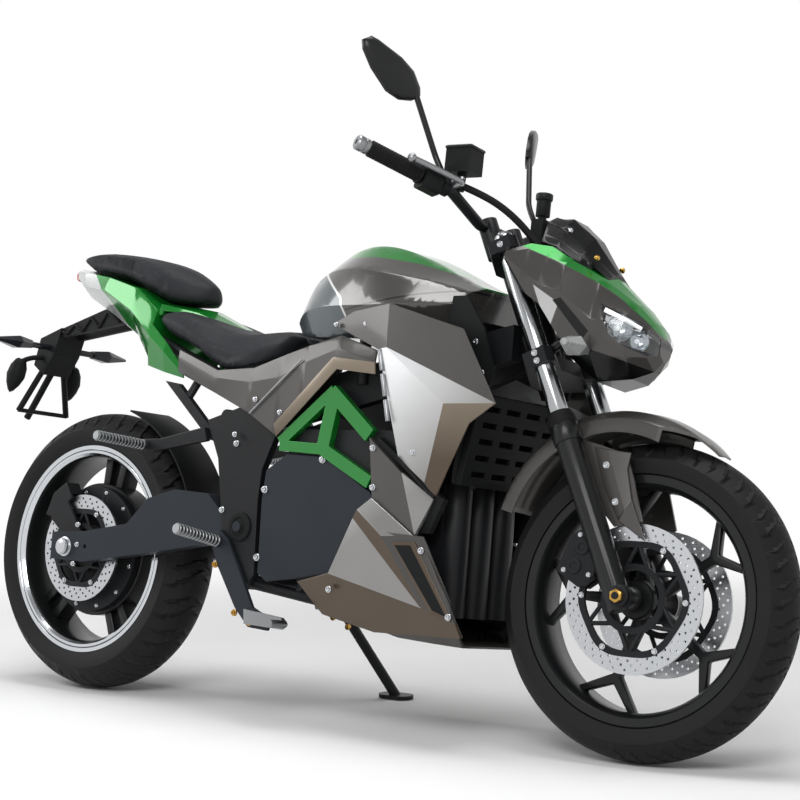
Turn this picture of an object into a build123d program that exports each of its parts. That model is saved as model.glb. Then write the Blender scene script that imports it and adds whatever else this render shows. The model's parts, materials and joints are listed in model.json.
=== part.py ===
"""Electric street motorcycle, parked leaning on its side stand with the bars turned a little to the left.

The machine is drawn upright: X runs forward from the rear axle, Y to the rider's left, Z up from the road.
The front end is drawn straight ahead, turned about the steering line by STEER_DEG, and then the whole
machine is leaned by LEAN_DEG and set down with the middle of its box over the origin. Millimetres.
"""
import os
from math import asin, cos, radians, sin, sqrt, tan

from build123d import *

# Parked attitude
LEAN_DEG = 8.0
STEER_DEG = 7.0

# Chassis layout
WHEELBASE = 1448.0
RAKE_DEG = 25.0
AXLE_LEAD = 14.0
CLAMP_OFFSET = 35.0
FORK_HALF = 100.0

# Wheels and tyres
FRONT_TYRE_HEIGHT = 63.0
FRONT_CROWN = 58.0
FRONT_TYRE_HALF = 55.0
FRONT_FLANGE_RADIUS = 230.0
FRONT_RIM_HALF = 51.0
REAR_TYRE_HEIGHT = 79.5
REAR_CROWN = 75.0
REAR_TYRE_HALF = 73.0
REAR_FLANGE_RADIUS = 232.5
REAR_RIM_HALF = 62.0
FLANGE_THICK = 6.0
FLANGE_HEIGHT = 8.0
BARREL_THICK = 18.0
SPOKE_COUNT = 5
MOTOR_RADIUS = 142.0
MOTOR_HALF = 46.0

# Brakes
FRONT_DISC_RADIUS = 137.0
FRONT_DISC_FACE = 68.0
REAR_DISC_RADIUS = 120.0
REAR_DISC_FACE = 78.0
DISC_THICK = 5.0
DISC_BAND = 34.0
PAD_GAP = 5.5

# Axles and fork
FRONT_AXLE_RADIUS = 10.0
REAR_AXLE_RADIUS = 12.0
SPIN_GAP = 0.05
STANCHION_RADIUS = 18.5
LEG_RADIUS = 24.0
LEG_TOP = 345.0
STANCHION_TOP = 745.0
LOWER_CLAMP_AT = 484.0
LOWER_CLAMP_THICK = 32.0
UPPER_CLAMP_AT = 724.0
UPPER_CLAMP_THICK = 26.0
HEAD_TUBE_RADIUS = 32.0
HEAD_TUBE_BORE = 19.0
HEAD_GAP = 7.0
SPAR_AT = 560.0

# Handlebar
BAR_RADIUS = 11.0
BAR_BEND_RADIUS = 45.0
GRIP_RADIUS = 16.5
GRIP_LENGTH = 116.0

# Body shells
PANEL_WALL = 4.0
ARM_INSIDE = 92.0
ARM_OUTSIDE = 126.0
PLATE_INSIDE = 128.0
PLATE_OUTSIDE = 146.0
STRUT_OUTSIDE = 142.0
BATTERY_HALF = 140.0
BATTERY_LOW = 282.0

front_tyre_radius = FRONT_FLANGE_RADIUS + FRONT_TYRE_HEIGHT
rear_tyre_radius = REAR_FLANGE_RADIUS + REAR_TYRE_HEIGHT
lean = radians(LEAN_DEG)
steer = radians(STEER_DEG)
rake = radians(RAKE_DEG)
stem_back = AXLE_LEAD + CLAMP_OFFSET

# The parked front wheel leans by the lean and by what the raked steering adds
front_lean = asin(cos(steer) * sin(lean) + sin(rake) * sin(steer) * cos(lean))
rear_axle_up = (rear_tyre_radius - REAR_CROWN) + REAR_CROWN / cos(lean)
front_hang = (front_tyre_radius - FRONT_CROWN) * cos(front_lean) + FRONT_CROWN
front_axle_up = (front_hang + stem_back * sin(steer) * sin(lean)) / cos(lean)

rear_axle = Vector(0, 0, rear_axle_up)
front_axle = Vector(WHEELBASE, 0, front_axle_up)
fork_up = Vector(-sin(rake), 0, cos(rake))
fork_ahead = Vector(cos(rake), 0, sin(rake))
steer_foot = front_axle - fork_ahead * stem_back


def fork_point(along, side=0.0, ahead=0.0):
    """Point in the fork's own directions, measured from the front axle."""
    return front_axle + fork_up * along + fork_ahead * ahead + Vector(0, side, 0)


def fork_plane(along, side=0.0, ahead=0.0):
    """Plane square to the fork: its x runs ahead, its y to the left."""
    return Plane(fork_point(along, side, ahead), x_dir=fork_ahead, z_dir=fork_up)


def nose(ahead, side, up):
    """Point measured from the front axle, straight ahead and level."""
    return front_axle + Vector(ahead, side, up)


def nose_outline(points):
    """Side-view outline measured from the front axle."""
    return [(front_axle.X + ahead, front_axle.Z + up) for ahead, up in points]


def signal(root, sections):
    """Pointed lamp that stands out to the right: sections as (out, half width, half height)."""
    with BuildPart() as body:
        for out, wide, tall in sections:
            with BuildSketch(Plane(root - Vector(0, out, 0), x_dir=(1, 0, 0), z_dir=(0, -1, 0))):
                with BuildLine():
                    Polyline(
                        (-wide, 0), (-wide / 2, tall), (wide / 2, tall), (wide, 0), (wide / 2, -tall),
                        (-wide / 2, -tall), close=True,
                    )
                make_face()
        loft(ruled=True)
    return body.part


def wheel_plane(axle):
    """Plane of a wheel seen from the right: x forward, y up."""
    return Plane(axle, x_dir=(1, 0, 0), z_dir=(0, -1, 0))


def section_plane(axle):
    """Upright plane through an axle line: x to the left, y up."""
    return Plane(axle, x_dir=(0, 1, 0), z_dir=(1, 0, 0))


def slab(outline, near, far):
    """Plate on the right: a side-view outline between two distances from the middle plane."""
    with BuildPart() as plate:
        with BuildSketch(Plane.XZ.offset(near)):
            with BuildLine():
                Polyline(*outline, close=True)
            make_face()
        extrude(amount=far - near)
    return plate.part


def skin(stations, wall, origin=Vector(0, 0, 0)):
    """Panel on the right, lofted through upright cuts of (out, up) points running from top to bottom."""
    with BuildPart() as panel:
        for ahead, cut in stations:
            outer = [(-out, origin.Z + up) for out, up in cut]
            inner = [(wall - out, origin.Z + up) for out, up in reversed(cut)]
            with BuildSketch(Plane.YZ.offset(origin.X + ahead)):
                with BuildLine():
                    Polyline(*outer, *inner, close=True)
                make_face()
        loft(ruled=True)
    return panel.part


def hull(stations, ruled=True, origin=Vector(0, 0, 0)):
    """Body symmetric about the middle, lofted through upright cuts of (half, up) points from low to top."""
    with BuildPart() as body:
        for ahead, cut in stations:
            right = [(-half, origin.Z + up) for half, up in cut]
            left = [(half, origin.Z + up) for half, up in reversed(cut)]
            with BuildSketch(Plane.YZ.offset(origin.X + ahead)):
                with BuildLine():
                    Polyline(*right, *left, close=True)
                make_face()
        loft(ruled=ruled)
    return body.part


def rod(start, end, radius):
    """Round bar from one point to another."""
    reach = Vector(end) - Vector(start)
    with BuildPart() as bar:
        with BuildSketch(Plane(Vector(start), z_dir=reach)):
            Circle(radius)
        extrude(amount=reach.length)
    return bar.part


def block(low, high):
    """Box between two opposite corners."""
    size = Vector(high) - Vector(low)
    middle = (Vector(high) + Vector(low)) * 0.5
    with BuildPart() as box:
        with Locations(middle):
            Box(size.X, size.Y, size.Z)
    return box.part


def joined(*pieces):
    """Several shapes made one piece."""
    with BuildPart() as whole:
        for piece in pieces:
            add(piece)
    return whole.part


def cut_by(piece, *tools):
    """A shape with others taken out of it."""
    with BuildPart() as whole:
        add(piece)
        for tool in tools:
            add(tool, mode=Mode.SUBTRACT)
    return whole.part


def shared(piece, other):
    """What two shapes have in common."""
    with BuildPart() as whole:
        add(piece)
        add(other, mode=Mode.INTERSECT)
    return whole.part


def pair(right):
    """A right-hand piece with its mirror image on the left."""
    with BuildPart() as both:
        add(right)
        mirror(about=Plane.XZ)
    return both.part


# Tyres
def tyre(axle, radius, crown, half, flange_radius, rim_half):
    """Plain tyre ring seated between the rim's flanges."""
    bead_half = rim_half - FLANGE_THICK
    bead_radius = flange_radius - FLANGE_HEIGHT
    shoulder = radians(50)
    side = crown * sin(shoulder)
    side_radius = radius - crown * (1 - cos(shoulder))
    flank = side_radius - 0.3 * (side_radius - flange_radius)
    flank_points = [
        (side, side_radius),
        (half, flank),
        (rim_half, flange_radius + 2),
        (bead_half, flange_radius + 2),
        (bead_half, bead_radius),
    ]
    mirrored = [(-y, r) for y, r in reversed(flank_points)]
    with BuildPart() as ring:
        with BuildSketch(section_plane(axle)):
            with BuildLine():
                ThreePointArc((-side, side_radius), (0, radius), (side, side_radius))
                Polyline(*flank_points, *mirrored)
            make_face()
        revolve(axis=Axis(axle, (0, 1, 0)))
    return ring.part


def rim_ring(axle, flange_radius, rim_half):
    """Rim barrel with a flange at each edge."""
    bead_half = rim_half - FLANGE_THICK
    bead_radius = flange_radius - FLANGE_HEIGHT
    inside = bead_radius - BARREL_THICK
    half_cut = [
        (bead_half, bead_radius),
        (bead_half, flange_radius),
        (rim_half, flange_radius),
        (rim_half, bead_radius - FLANGE_HEIGHT),
        (rim_half - 14, inside),
    ]
    mirrored = [(-y, r) for y, r in reversed(half_cut)]
    with BuildPart() as ring:
        with BuildSketch(section_plane(axle)):
            with BuildLine():
                Polyline(*half_cut, *mirrored, close=True)
            make_face()
        revolve(axis=Axis(axle, (0, 1, 0)))
    return ring.part


front_tyre = tyre(
    front_axle, front_tyre_radius, FRONT_CROWN, FRONT_TYRE_HALF, FRONT_FLANGE_RADIUS, FRONT_RIM_HALF
)
rear_tyre = tyre(
    rear_axle, rear_tyre_radius, REAR_CROWN, REAR_TYRE_HALF, REAR_FLANGE_RADIUS, REAR_RIM_HALF
)

# Front rim with forked spokes
front_inside = FRONT_FLANGE_RADIUS - FLANGE_HEIGHT - BARREL_THICK
hub_half = FRONT_DISC_FACE - DISC_THICK - 5
fork_at = 0.66 * front_inside
with BuildPart() as front_rim:
    add(rim_ring(front_axle, FRONT_FLANGE_RADIUS, FRONT_RIM_HALF))
    with BuildSketch(wheel_plane(front_axle)):
        with PolarLocations(0, SPOKE_COUNT, start_angle=22):
            with BuildLine():
                Polyline(
                    (20, -14), (fork_at, -10), (front_inside + 6, -46), (front_inside + 6, -26),
                    (fork_at + 22, 0), (front_inside + 6, 26), (front_inside + 6, 46), (fork_at, 10),
                    (20, 14), close=True,
                )
            make_face()
    extrude(amount=12, both=True)
    with BuildSketch(wheel_plane(front_axle)):
        Circle(38)
    extrude(amount=hub_half, both=True)
    with BuildSketch(wheel_plane(front_axle)):
        Circle(FRONT_AXLE_RADIUS + SPIN_GAP)
    extrude(amount=hub_half + 5, both=True, mode=Mode.SUBTRACT)


def disc(axle, radius, band, face, hub_radius, hub_face, arms):
    """Brake disc on the right: the ring, and a carrier of arms down to the hub."""
    inner = radius - band
    with BuildPart() as plate:
        with BuildSketch(wheel_plane(axle).offset(face - DISC_THICK)):
            Circle(radius)
            Circle(inner, mode=Mode.SUBTRACT)
        extrude(amount=DISC_THICK)
        with BuildSketch(wheel_plane(axle).offset(hub_face)):
            Circle(hub_radius)
            with PolarLocations(0, arms):
                with BuildLine():
                    Polyline(
                        (hub_radius - 8, -16), (inner + 8, 3), (inner + 8, 15), (hub_radius - 8, 12),
                        close=True,
                    )
                make_face()
        extrude(amount=face - DISC_THICK - hub_face)
        with BuildSketch(wheel_plane(axle).offset(hub_face)):
            Circle(hub_radius - 24)
        extrude(amount=face, mode=Mode.SUBTRACT)
    return plate.part


front_discs = pair(disc(front_axle, FRONT_DISC_RADIUS, DISC_BAND, FRONT_DISC_FACE, 56, hub_half, 6))

# Rear rim, hub motor and disc
rear_inside = REAR_FLANGE_RADIUS - FLANGE_HEIGHT - BARREL_THICK
with BuildPart() as rear_rim:
    add(rim_ring(rear_axle, REAR_FLANGE_RADIUS, REAR_RIM_HALF))
    with BuildSketch(wheel_plane(rear_axle)):
        Circle(MOTOR_RADIUS + 8)
        Circle(MOTOR_RADIUS, mode=Mode.SUBTRACT)
    extrude(amount=30, both=True)
    with BuildSketch(wheel_plane(rear_axle)):
        with PolarLocations(0, SPOKE_COUNT, start_angle=18):
            with BuildLine():
                Polyline(
                    (MOTOR_RADIUS + 3, -34), (rear_inside + 6, -42), (rear_inside + 6, -12),
                    (MOTOR_RADIUS + 22, 0), (rear_inside + 6, 12), (rear_inside + 6, 42),
                    (MOTOR_RADIUS + 3, 34), close=True,
                )
            make_face()
    extrude(amount=24, both=True)

rear_hub_face = REAR_DISC_FACE - DISC_THICK - 6
with BuildPart() as hub_motor:
    with BuildSketch(wheel_plane(rear_axle)):
        Circle(MOTOR_RADIUS)
    extrude(amount=MOTOR_HALF, both=True)
    with BuildSketch(wheel_plane(rear_axle)):
        Circle(52)
    extrude(amount=rear_hub_face, both=True)
    with BuildSketch(wheel_plane(rear_axle)):
        Circle(REAR_AXLE_RADIUS + SPIN_GAP)
    extrude(amount=rear_hub_face + 5, both=True, mode=Mode.SUBTRACT)

rear_disc = disc(rear_axle, REAR_DISC_RADIUS, DISC_BAND, REAR_DISC_FACE, 56, rear_hub_face, 6)

# Axles
front_axle_bar = joined(
    rod(front_axle + Vector(0, -128, 0), front_axle + Vector(0, 128, 0), FRONT_AXLE_RADIUS),
    rod(front_axle + Vector(0, -132, 0), front_axle + Vector(0, -124, 0), 15),
    rod(front_axle + Vector(0, 124, 0), front_axle + Vector(0, 132, 0), 15),
)
rear_axle_bar = joined(
    rod(rear_axle + Vector(0, -138, 0), rear_axle + Vector(0, 138, 0), REAR_AXLE_RADIUS),
    rod(rear_axle + Vector(0, -138, 0), rear_axle + Vector(0, -ARM_OUTSIDE, 0), 18),
    rod(rear_axle + Vector(0, ARM_OUTSIDE, 0), rear_axle + Vector(0, 138, 0), 18),
)

# Swing arm
PIVOT = (545, 380)
arm_outline = [
    (-46, 284), (60, 282), (300, 318), (470, 346), (575, 350), (580, 405), (470, 412), (430, 446),
    (330, 452), (250, 430), (190, 372), (60, 350), (-46, 344),
]
pivot_bore = rod((PIVOT[0], -PLATE_OUTSIDE - 8, PIVOT[1]), (PIVOT[0], PLATE_OUTSIDE + 8, PIVOT[1]), 11)
rear_axle_bore = rod(rear_axle + Vector(0, -150, 0), rear_axle + Vector(0, 150, 0), REAR_AXLE_RADIUS)
CROSS_BACK = rear_tyre_radius + 18
SPOOL_AT = (64, 316)
SPOOL_RADIUS = 5
SPOOL_DEPTH = 18
spool_mouth = Vector(SPOOL_AT[0], -ARM_OUTSIDE, SPOOL_AT[1])
spool_bore = pair(rod(spool_mouth - Vector(0, 1, 0), spool_mouth + Vector(0, SPOOL_DEPTH, 0), SPOOL_RADIUS))
swingarm = joined(
    cut_by(pair(slab(arm_outline, ARM_INSIDE, ARM_OUTSIDE)), rear_axle_bore, spool_bore),
    block((CROSS_BACK, -ARM_INSIDE - 4, 388), (CROSS_BACK + 95, ARM_INSIDE + 4, 440)),
    rod((PIVOT[0], -ARM_OUTSIDE, PIVOT[1]), (PIVOT[0], ARM_OUTSIDE, PIVOT[1]), 24),
    pivot_bore,
)

# Main frame: head tube, spars, pivot plates, cradle, seat rails
head_low = LOWER_CLAMP_AT + LOWER_CLAMP_THICK / 2 + HEAD_GAP
head_high = UPPER_CLAMP_AT - UPPER_CLAMP_THICK / 2 - HEAD_GAP
head_bottom = fork_point(head_low, 0, -stem_back)
head_top = fork_point(head_high, 0, -stem_back)
plate_outline = [
    (430, 600), (560, 640), (640, 600), (622, 560), (597, 500), (592, 437), (598, 285), (578, 262),
    (530, 250), (512, 300), (487, 434), (470, 520),
]
strut_outline = [(290, 684), (330, 678), (476, 550), (434, 560)]
spar_front = fork_point(SPAR_AT, -42, -stem_back - 26)
with BuildPart() as spar:
    with BuildSketch(Plane.YZ.offset(spar_front.X)):
        with Locations((spar_front.Y, spar_front.Z)):
            Rectangle(30, 70)
    with BuildSketch(Plane.YZ.offset(620)):
        with Locations((-132, 622)):
            Rectangle(26, 84)
    loft(ruled=True)
rail_points = [(610, 640), (200, 784)]
half_frame = joined(
    spar.part,
    slab(plate_outline, PLATE_INSIDE, PLATE_OUTSIDE),
    slab(strut_outline, PLATE_INSIDE, STRUT_OUTSIDE),
    rod((560, -118, 268), (1060, -104, 206), 12),
    rod((560, -140, 268), (560, -100, 268), 14),
    rod((600, -134, 636), (200, -88, 784), 12),
    rod((352, -132, 646), (380, -110, 716), 9),
    rod((820, -112, 680), (820, -112, 772), 12),
    rod((634, -140, 640), (634, -155, 640), 9),
    rod((1000, -104, 222), (1000, -104, 186), 8),
    rod((700, -113, 250), (700, -113, BATTERY_LOW), 10),
    rod((880, -110, 230), (880, -110, BATTERY_LOW), 10),
)
head_shell = rod(head_bottom, head_top, HEAD_TUBE_RADIUS)
head_bore = rod(head_bottom - fork_up * 5, head_top + fork_up * 5, HEAD_TUBE_BORE)
main_frame = cut_by(
    joined(
        pair(half_frame),
        head_shell,
        rod((470, -PLATE_INSIDE - 4, 610), (470, PLATE_INSIDE + 4, 610), 15),
        rod((560, -PLATE_INSIDE - 4, 268), (560, PLATE_INSIDE + 4, 268), 15),
    ),
    head_bore,
    pivot_bore,
)

# Battery, covers and trellis inserts
battery_pack = block((660, -BATTERY_HALF, BATTERY_LOW), (1000, BATTERY_HALF, 586))
cover_outline = [
    (668, 534), (612, 499), (606, 437), (610, 288), (636, 272), (815, 299), (891, 383), (874, 427),
    (900, 452), (890, 464), (768, 530),
]
cover_plates = pair(slab(cover_outline, BATTERY_HALF, BATTERY_HALF + 9))


def strip(start, end, width):
    """Four corners of a straight bar drawn in side view."""
    run = Vector(end[0] - start[0], end[1] - start[1])
    across = Vector(-run.Y, run.X).normalized() * (width / 2)
    first = Vector(*start)
    last = Vector(*end)
    return [(p.X, p.Y) for p in (first + across, last + across, last - across, first - across)]


# Trellis bars: start, end, width
trellis_bars = [
    ((648, 556), (784, 664), 24),
    ((776, 662), (884, 574), 30),
    ((648, 550), (770, 544), 22),
    ((762, 546), (892, 482), 26),
    ((784, 652), (764, 544), 32),
]
trellis_inserts = pair(
    joined(*[slab(strip(a, b, w), BATTERY_HALF, BATTERY_HALF + 16) for a, b, w in trellis_bars])
)
battery_covers = cut_by(cover_plates, trellis_inserts)

# Tank cover
tank_cover = hull(
    [
        (606, [(64, 790), (78, 812), (62, 846), (20, 862)]),
        (664, [(100, 780), (114, 834), (84, 902), (30, 938)]),
        (800, [(130, 772), (150, 836), (126, 912), (45, 973)]),
        (950, [(138, 772), (163, 834), (130, 888), (48, 926)]),
        (1060, [(96, 812), (128, 834), (98, 860), (40, 878)]),
    ],
    ruled=False,
)

# Side shrouds, inner panels, air guides
tank_shrouds = pair(
    skin(
        [
            (755, [(147, 795), (150, 790), (150, 786), (148, 782)]),
            (900, [(168, 833), (172, 790), (174, 757), (166, 747)]),
            (985, [(171, 815), (178, 760), (184, 705), (176, 540)]),
            (1062, [(172, 797), (181, 720), (190, 657), (172, 458)]),
            (1100, [(172, 787), (182, 715), (192, 637), (174, 530)]),
            (1146, [(176, 727), (184, 690), (190, 640), (178, 608)]),
            (1206, [(178, 645), (180, 642), (182, 638), (180, 632)]),
        ],
        PANEL_WALL,
    )
)
inner_outline = [(1050, 850), (1084, 850), (1130, 784), (1160, 700), (1152, 676), (1090, 676), (1040, 790)]
inner_post = rod((1110, -131, 700), (1110, -182, 700), 7)
inner_panels = pair(cut_by(joined(slab(inner_outline, 128, 134), inner_post), tank_cover, tank_shrouds))
guide_outline = [(906, 572), (1080, 455), (1048, 388), (974, 390), (912, 452)]
air_guides = pair(slab(guide_outline, BATTERY_HALF, BATTERY_HALF + 14))

# Seat side covers
side_covers = cut_by(
    pair(
        skin(
            [
                (318, [(134, 752), (136, 736), (134, 704)]),
                (447, [(146, 706), (150, 690), (146, 657)]),
                (554, [(148, 710), (155, 680), (155, 616)]),
                (634, [(148, 735), (156, 690), (158, 572)]),
                (700, [(146, 755), (158, 720), (160, 628)]),
                (789, [(152, 774), (162, 745), (164, 706)]),
                (894, [(164, 742), (168, 720), (168, 696)]),
            ],
            PANEL_WALL,
        )
    ),
    tank_shrouds,
)

# Belly pan: x, then top, crease and low corners as (out, up)
belly_table = [
    (765, (160, 288), (162, 278), (138, 226)),
    (820, (166, 302), (170, 290), (135, 222)),
    (885, (172, 428), (176, 300), (130, 205)),
    (970, (182, 386), (178, 265), (125, 186)),
    (1054, (178, 382), (172, 248), (120, 181)),
    (1120, (165, 262), (160, 232), (115, 178)),
]
with BuildPart() as belly_pan:
    for x, top, crease, low in belly_table:
        outer = [(-top[0], top[1]), (-crease[0], crease[1]), (-low[0], low[1])]
        inner = [
            (PANEL_WALL - low[0], low[1] + PANEL_WALL),
            (PANEL_WALL - crease[0], crease[1] + 1),
            (PANEL_WALL - top[0], top[1]),
        ]
        with BuildSketch(Plane.YZ.offset(x)):
            with BuildLine():
                Polyline(
                    *outer, *[(-y, z) for y, z in reversed(outer)],
                    *[(-y, z) for y, z in reversed(inner)], *inner, close=True,
                )
            make_face()
    loft(ruled=True)

# Radiator grille and the ribbed housing below it
GRILLE_TILT = 11.5
grille_face = Vector(cos(radians(GRILLE_TILT)), 0, -sin(radians(GRILLE_TILT)))
grille_plane = Plane((1128, 0, 570), x_dir=(0, 1, 0), z_dir=grille_face)
with BuildPart() as radiator_grille:
    with BuildSketch(grille_plane):
        Rectangle(296, 176)
        with GridLocations(66, 32, 4, 5):
            Rectangle(44, 11, mode=Mode.SUBTRACT)
    extrude(amount=-16)
with BuildPart() as front_housing:
    with BuildSketch(Plane.XY.offset(232)):
        with Locations((1022, 0)):
            Rectangle(44, 220)
        with Locations((1048, -72), (1048, 0), (1048, 72)):
            Circle(30)
    extrude(amount=256)
    for side in (-66, 66):
        add(rod((1050, side, 470), (1106, side, 508), 8))
    add(radiator_grille.part, mode=Mode.SUBTRACT)

# Seats and tail
rider_seat = hull(
    [
        (588, [(96, 748), (100, 775), (70, 797), (25, 802)]),
        (540, [(136, 716), (140, 752), (105, 786), (35, 794)]),
        (440, [(140, 718), (144, 756), (110, 787), (35, 795)]),
        (340, [(134, 764), (136, 792), (112, 814), (35, 822)]),
        (250, [(120, 800), (122, 822), (105, 840), (35, 846)]),
        (208, [(104, 824), (106, 834), (92, 846), (30, 850)]),
    ],
    ruled=False,
)
PILLION_SINK = 0.9
pillion_seat = hull(
    [
        (282, [(14, 872), (18, 884), (14, 900), (6, 908)]),
        (258, [(42, 866), (50, 884), (38, 910), (15, 921)]),
        (212, [(66, 872), (76, 892), (58, 928), (20, 942)]),
        (120, [(86, 910), (94, 928), (74, 956), (25, 969)]),
        (0, [(78, 940), (84, 953), (66, 976), (25, 987)]),
        (-100, [(50, 962), (56, 972), (44, 985), (18, 991)]),
        (-138, [(26, 974), (30, 979), (24, 985), (12, 988)]),
    ],
    ruled=False,
    origin=Vector(0, 0, -PILLION_SINK),
)
tail_body = hull(
    [
        (-140, [(18, 928), (34, 940), (34, 956), (18, 962)]),
        (-92, [(30, 892), (58, 915), (56, 948), (20, 956)]),
        (11, [(46, 846), (86, 899), (76, 930), (20, 934)]),
        (121, [(74, 796), (104, 848), (88, 900), (20, 904)]),
        (200, [(100, 722), (116, 790), (98, 846), (20, 862)]),
    ]
)
tail_wings = pair(
    skin(
        [
            (200, [(112, 815), (122, 790), (112, 722)]),
            (262, [(122, 770), (130, 750), (122, 706)]),
            (326, [(126, 708), (128, 700), (126, 692)]),
        ],
        PANEL_WALL,
    )
)
seat_hump = cut_by(
    hull(
        [
            (200, [(92, 838), (86, 862), (20, 870)]),
            (285, [(84, 822), (60, 845), (16, 856)]),
            (392, [(46, 798), (34, 808), (12, 812)]),
        ]
    ),
    rider_seat,
)
tail_lamp = hull([(-140, [(30, 932), (32, 955)]), (-160, [(20, 938), (22, 950)])])

# Plate hanger, rear signals
hanger_arm = joined(
    pair(slab([(44, 838), (-36, 864), (-190, 818), (-180, 800), (20, 828)], 22, 34)),
    pair(slab([(-175, 822), (-246, 798), (-262, 735), (-228, 712), (-196, 760)], 0, 40)),
    pair(rod((-236, -30, 728), (-262, -74, 622), 7)),
    rod((-240, 0, 724), (-316, 0, 612), 8),
    rod((-262, -74, 624), (-262, 74, 624), 5),
)
plate_hanger = cut_by(hanger_arm, tail_body)
signal_root = Vector(-214, 0, 776)
rear_signal = joined(
    signal(signal_root, [(96, 12, 9), (140, 24, 14), (205, 5, 3)]),
    rod(signal_root - Vector(0, 36, 0), signal_root - Vector(0, 98, 0), 7),
)
rear_signals = pair(cut_by(rear_signal, plate_hanger))

# Hugger and shock
HUGGER_RADIUS = rear_tyre_radius + 18
with BuildPart() as hugger:
    with BuildSketch(section_plane(rear_axle)):
        with Locations((0, HUGGER_RADIUS)):
            Rectangle(120, 4)
    revolve(axis=Axis(rear_axle, (0, 1, 0)), revolution_arc=50)
hugger_arc = hugger.part.rotate(Axis(rear_axle, (0, 1, 0)), 18)
hugger_stay = rod((304, -40, 441), (350, -40, 424), 7)
rear_hugger = cut_by(joined(hugger_arc, pair(hugger_stay)), swingarm)
shock_body = joined(rod((372, 0, 436), (464, 0, 602), 16), rod((392, 0, 475), (444, 0, 566), 30))
rear_shock = cut_by(shock_body, swingarm, main_frame)

# Foot gear
right_bracket = [
    (478, 345), (500, 372), (526, 352), (560, 300), (610, 218), (660, 197), (655, 174), (600, 178),
    (560, 215), (500, 300),
]
left_bracket = [(478, 345), (500, 372), (526, 352), (548, 312), (500, 300)]
foot_brackets = joined(
    slab(right_bracket, PLATE_OUTSIDE, PLATE_OUTSIDE + 10),
    mirror(slab(left_bracket, PLATE_OUTSIDE, PLATE_OUTSIDE + 10), about=Plane.XZ),
)
rider_pegs = pair(cut_by(rod((500, -PLATE_OUTSIDE - 6, 346), (500, -282, 366), 12), foot_brackets))
pedal_outline = [(596, 214), (700, 203), (712, 190), (700, 180), (600, 184)]
brake_pedal = joined(
    slab(pedal_outline, PLATE_OUTSIDE + 10, PLATE_OUTSIDE + 20),
    rod((704, -PLATE_OUTSIDE - 12, 191), (704, -204, 191), 8),
)
hanger_outline = [(430, 585), (440, 556), (280, 530), (240, 532), (246, 556), (300, 558)]
peg_hangers = pair(slab(hanger_outline, STRUT_OUTSIDE, STRUT_OUTSIDE + 12))
passenger_pegs = pair(cut_by(rod((258, -PLATE_OUTSIDE - 6, 543), (254, -296, 550), 11), peg_hangers))

# Rear caliper on its carrier
caliper_plane = wheel_plane(rear_axle)
with BuildPart() as rear_caliper:
    with BuildSketch(caliper_plane.offset(REAR_DISC_FACE + PAD_GAP)):
        Circle(30)
        with BuildLine():
            Polyline((-26, 10), (-96, 62), (-54, 116), (18, 24), close=True)
        make_face()
    extrude(amount=ARM_INSIDE - REAR_DISC_FACE - PAD_GAP)
    with BuildSketch(caliper_plane.offset(REAR_DISC_FACE - DISC_THICK - PAD_GAP - 14)):
        with BuildLine():
            Polyline((-112, 70), (-74, 62), (-30, 112), (-52, 146), (-92, 120), close=True)
        make_face()
    extrude(amount=ARM_INSIDE - REAR_DISC_FACE + DISC_THICK + PAD_GAP + 14)
    with BuildSketch(caliper_plane.offset(REAR_DISC_FACE - DISC_THICK - PAD_GAP)):
        Circle(REAR_DISC_RADIUS + PAD_GAP)
    extrude(amount=DISC_THICK + 2 * PAD_GAP, mode=Mode.SUBTRACT)
    add(rear_axle_bore, mode=Mode.SUBTRACT)

# Side stand
STAND_PIVOT = Vector(575, 158, 232)
STAND_TILT = 31.3
STAND_EYE_HALF = 11
STAND_PIN_RADIUS = 7
STAND_FOOT = (650, 285)
foot_up = STAND_FOOT[1] * tan(lean)
stand_axis = Vector(0, cos(radians(STAND_TILT)), sin(radians(STAND_TILT)))
ground_up = Vector(0, -sin(lean), cos(lean))
stand_foot = Vector(STAND_FOOT[0], STAND_FOOT[1], foot_up)
with BuildPart() as stand_pad:
    with BuildSketch(Plane(stand_foot, x_dir=(1, 0, 0), z_dir=ground_up)):
        SlotOverall(84, 46)
    extrude(amount=8)
side_stand = cut_by(
    joined(
        rod(STAND_PIVOT, stand_foot + ground_up * 4, 11),
        rod(STAND_PIVOT - stand_axis * STAND_EYE_HALF, STAND_PIVOT + stand_axis * STAND_EYE_HALF, 19),
        stand_pad.part,
    ),
    rod(STAND_PIVOT - stand_axis * 30, STAND_PIVOT + stand_axis * 30, STAND_PIN_RADIUS + SPIN_GAP),
)
lug_back = STAND_PIVOT - stand_axis * (STAND_EYE_HALF + 14)
pin_end = STAND_PIVOT + stand_axis * (STAND_EYE_HALF + 6)
with BuildPart() as stand_lug:
    with BuildSketch(Plane(lug_back, x_dir=(1, 0, 0), z_dir=stand_axis)):
        Circle(19)
        with Locations((-4, -24)):
            Rectangle(30, 48)
    extrude(amount=12.5)
    add(rod(STAND_PIVOT - stand_axis * 20, pin_end, STAND_PIN_RADIUS))
main_frame = cut_by(
    joined(main_frame, stand_lug.part), belly_pan.part, side_covers, tail_body, tank_cover
)

# Fork
clamp_outline = [
    (-82, -34), (-82, 34), (-40, 126), (6, 126), (13, 104), (-6, 48), (-6, -48), (13, -104), (6, -126),
    (-40, -126),
]


def clamp(middle, thick):
    """Fork clamp plate with both stanchions' bores."""
    with BuildPart() as plate:
        with BuildSketch(fork_plane(middle - thick / 2)):
            with BuildLine():
                Polyline(*clamp_outline, close=True)
            make_face()
            with Locations((-AXLE_LEAD, -FORK_HALF), (-AXLE_LEAD, FORK_HALF)):
                Circle(STANCHION_RADIUS, mode=Mode.SUBTRACT)
        extrude(amount=thick)
    return plate.part


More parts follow.
